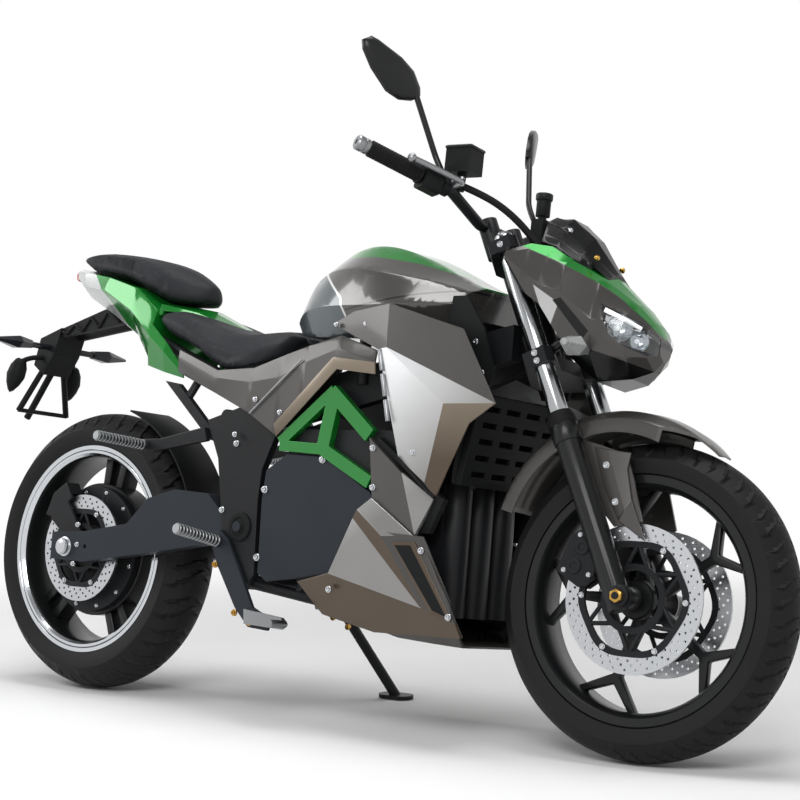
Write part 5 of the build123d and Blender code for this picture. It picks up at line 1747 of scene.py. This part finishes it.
@dataclass
class Studio:
    """Pale floor, soft lamps and the camera of the photograph.

    Args:
        eye: camera place in the machine's frame, millimetres.
        right: the picture's right in that frame.
        down: the picture's down.
        focal_px: focal length in pixels of the 800 pixel frame.
        frame_px: width of that frame.
        sensor_mm: width of the sensor.
        floor_near: radius in metres within which the floor is whole.
        floor_far: radius at which it has faded into the surround.
        ambient: strength of the surround's light on the object; where it is seen, it is 1.
    """

    eye: Place = (3416.0, -3185.0, 308.0)
    right: Place = (0.7780, 0.6236, 0.0764)
    down: Place = (0.0055, 0.1148, -0.9934)
    focal_px: float = 2016.0
    frame_px: float = 800.0
    sensor_mm: float = 36.0
    floor_near: float = 1.3
    floor_far: float = 3.2
    ambient: float = 0.44

    def camera(self, stance: Stance) -> None:
        """Set the camera up at the photograph's view."""
        data = bpy.data.cameras.new("camera")
        data.sensor_fit = "HORIZONTAL"
        data.sensor_width = self.sensor_mm
        data.lens = self.focal_px / self.frame_px * self.sensor_mm
        view = bpy.data.objects.new("camera", data)
        link(view)
        right, up = Vector(self.right).normalized(), -Vector(self.down).normalized()
        pose = Matrix((right, up, right.cross(up))).transposed().to_4x4()
        pose.translation = Vector(self.eye)
        placed = stance.chassis @ pose
        turn = placed.to_quaternion().to_matrix().to_4x4()
        view.matrix_world = Matrix.Translation(placed.to_translation()) @ turn
        bpy.context.scene.camera = view

    def lamp(self, name: str, at: Point, aim: Point, size: tuple[float, float], watts: float) -> None:
        """Hang one soft box.

        Args:
            name: the lamp's name.
            at: its place in metres.
            aim: the point that it faces.
            size: width and height in metres.
            watts: its power.
        """
        data = bpy.data.lights.new(name, "AREA")
        data.shape = "RECTANGLE"
        data.size, data.size_y = size
        data.energy = watts
        box = bpy.data.objects.new(name, data)
        link(box)
        box.location = at
        box.rotation_euler = (Vector(aim) - Vector(at)).to_track_quat("-Z", "Y").to_euler()

    def floor(self) -> None:
        """Lay the pale floor, which keeps the shadow and fades into the white surround."""
        mesh = bpy.data.meshes.new("floor")
        shape = bmesh.new()
        bmesh.ops.create_grid(shape, x_segments=1, y_segments=1, size=self.floor_far + 0.2)
        shape.to_mesh(mesh)
        shape.free()
        ground = bpy.data.objects.new("floor", mesh)
        link(ground)
        # Matt white studio card: clean, with the faintest cloud in its tone
        made = bpy.data.materials.new("studio_card")
        tree = fresh_tree(made)
        where = add_node(tree, "ShaderNodeTexCoord").outputs["Object"]
        cloud = add_node(tree, "ShaderNodeTexNoise", {"Vector": where, "Scale": 3.0})
        pale = {"Value": cloud.outputs["Fac"], "To Min": 0.86, "To Max": 0.9}
        tone = add_node(tree, "ShaderNodeMapRange", pale)
        card = {"Base Color": tone.outputs[0], "Roughness": 0.95, "Specular IOR Level": 0.1}
        shader = add_node(tree, "ShaderNodeBsdfPrincipled", card)
        reach = add_node(tree, "ShaderNodeVectorMath", {0: where}, operation="LENGTH")
        span = {"Value": reach.outputs["Value"], "From Min": self.floor_near, "From Max": self.floor_far}
        fade = add_node(tree, "ShaderNodeMapRange", span, interpolation_type="SMOOTHSTEP")
        clear = add_node(tree, "ShaderNodeBsdfTransparent")
        blend = {0: fade.outputs[0], 1: shader.outputs[0], 2: clear.outputs[0]}
        whole = add_node(tree, "ShaderNodeMixShader", blend)
        add_node(tree, "ShaderNodeOutputMaterial", {"Surface": whole.outputs[0]})
        mesh.materials.append(made)

    def world(self) -> None:
        """Give a white surround that darkens overhead, as a studio does above its sweep."""
        world = bpy.data.worlds.new("surround")
        bpy.context.scene.world = world
        tree = fresh_tree(world)
        path = add_node(tree, "ShaderNodeLightPath").outputs
        seen = add_node(tree, "ShaderNodeMath", {0: path["Is Camera Ray"], 1: path["Is Glossy Ray"]})
        rays = {0: seen.outputs[0], 1: path["Is Transmission Ray"]}
        seen = add_node(tree, "ShaderNodeMath", rays, use_clamp=True)
        strength = {"Value": seen.outputs[0], "To Min": self.ambient, "To Max": 1.0}
        level = add_node(tree, "ShaderNodeMapRange", strength)
        ray = add_node(tree, "ShaderNodeTexCoord").outputs["Generated"]
        rise = add_node(tree, "ShaderNodeSeparateXYZ", {0: ray}).outputs["Z"]
        span = {"Value": rise, "From Min": 0.25, "From Max": 0.8, "To Min": 1.0, "To Max": 0.3}
        tone = add_node(tree, "ShaderNodeMapRange", span, interpolation_type="SMOOTHSTEP")
        glow = {"Color": tone.outputs[0], "Strength": level.outputs[0]}
        light = add_node(tree, "ShaderNodeBackground", glow)
        add_node(tree, "ShaderNodeOutputWorld", {"Surface": light.outputs[0]})

    def build(self, stance: Stance) -> None:
        """Set up the whole studio."""
        bpy.context.scene.view_settings.view_transform = "Standard"
        self.camera(stance)
        self.floor()
        self.world()
        self.lamp("key", (1.8, -3.2, 3.0), (0.0, 0.0, 0.5), (2.4, 1.6), 90.0)
        self.lamp("top", (0.0, 0.0, 3.6), (0.0, 0.0, 0.0), (3.0, 1.6), 84.0)
        self.lamp("rear_side", (-3.0, -1.6, 2.2), (0.0, 0.0, 0.5), (1.6, 1.6), 38.0)


def soften(node: bpy.types.Object, width_mm: float, angle_deg: float = 30.0) -> None:
    """Weld a solid's loose triangles and round its edges, without touching its mesh."""
    merge = node.modifiers.new("weld", "WELD")
    merge.merge_threshold = 0.02 * MM
    bevel = node.modifiers.new("edges", "BEVEL")
    bevel.width = width_mm * MM
    bevel.segments = 2
    bevel.limit_method = "ANGLE"
    bevel.angle_limit = math.radians(angle_deg)
    bevel.harden_normals = True


def dress_solids(shop: Workshop) -> None:
    """Give each carried-over solid its finish and rounded edges."""
    for finish, names in NODE_FINISHES.items():
        for name in names.split():
            node = shop.frame["nodes"][name]
            node.data.materials.clear()
            node.data.materials.append(finish.material(shop.stance))
            soften(node, EDGE_MM.get(name, 1.5))
            LOG.info("dressed %s in %s", name, finish.name)


def main() -> None:
    """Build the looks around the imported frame."""
    logging.basicConfig(level=logging.INFO)
    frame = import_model()
    shop = Workshop(frame, Stance.read(frame["joints"]))
    Studio().build(shop.stance)
    dress_solids(shop)
    for assembly in (Cockpit, Nose, Fork, FrontWheel, RearWheel, Bodywork, RunningGear, Tail, Seats):
        assembly().build(shop)


if __name__ == "__main__":
    main()
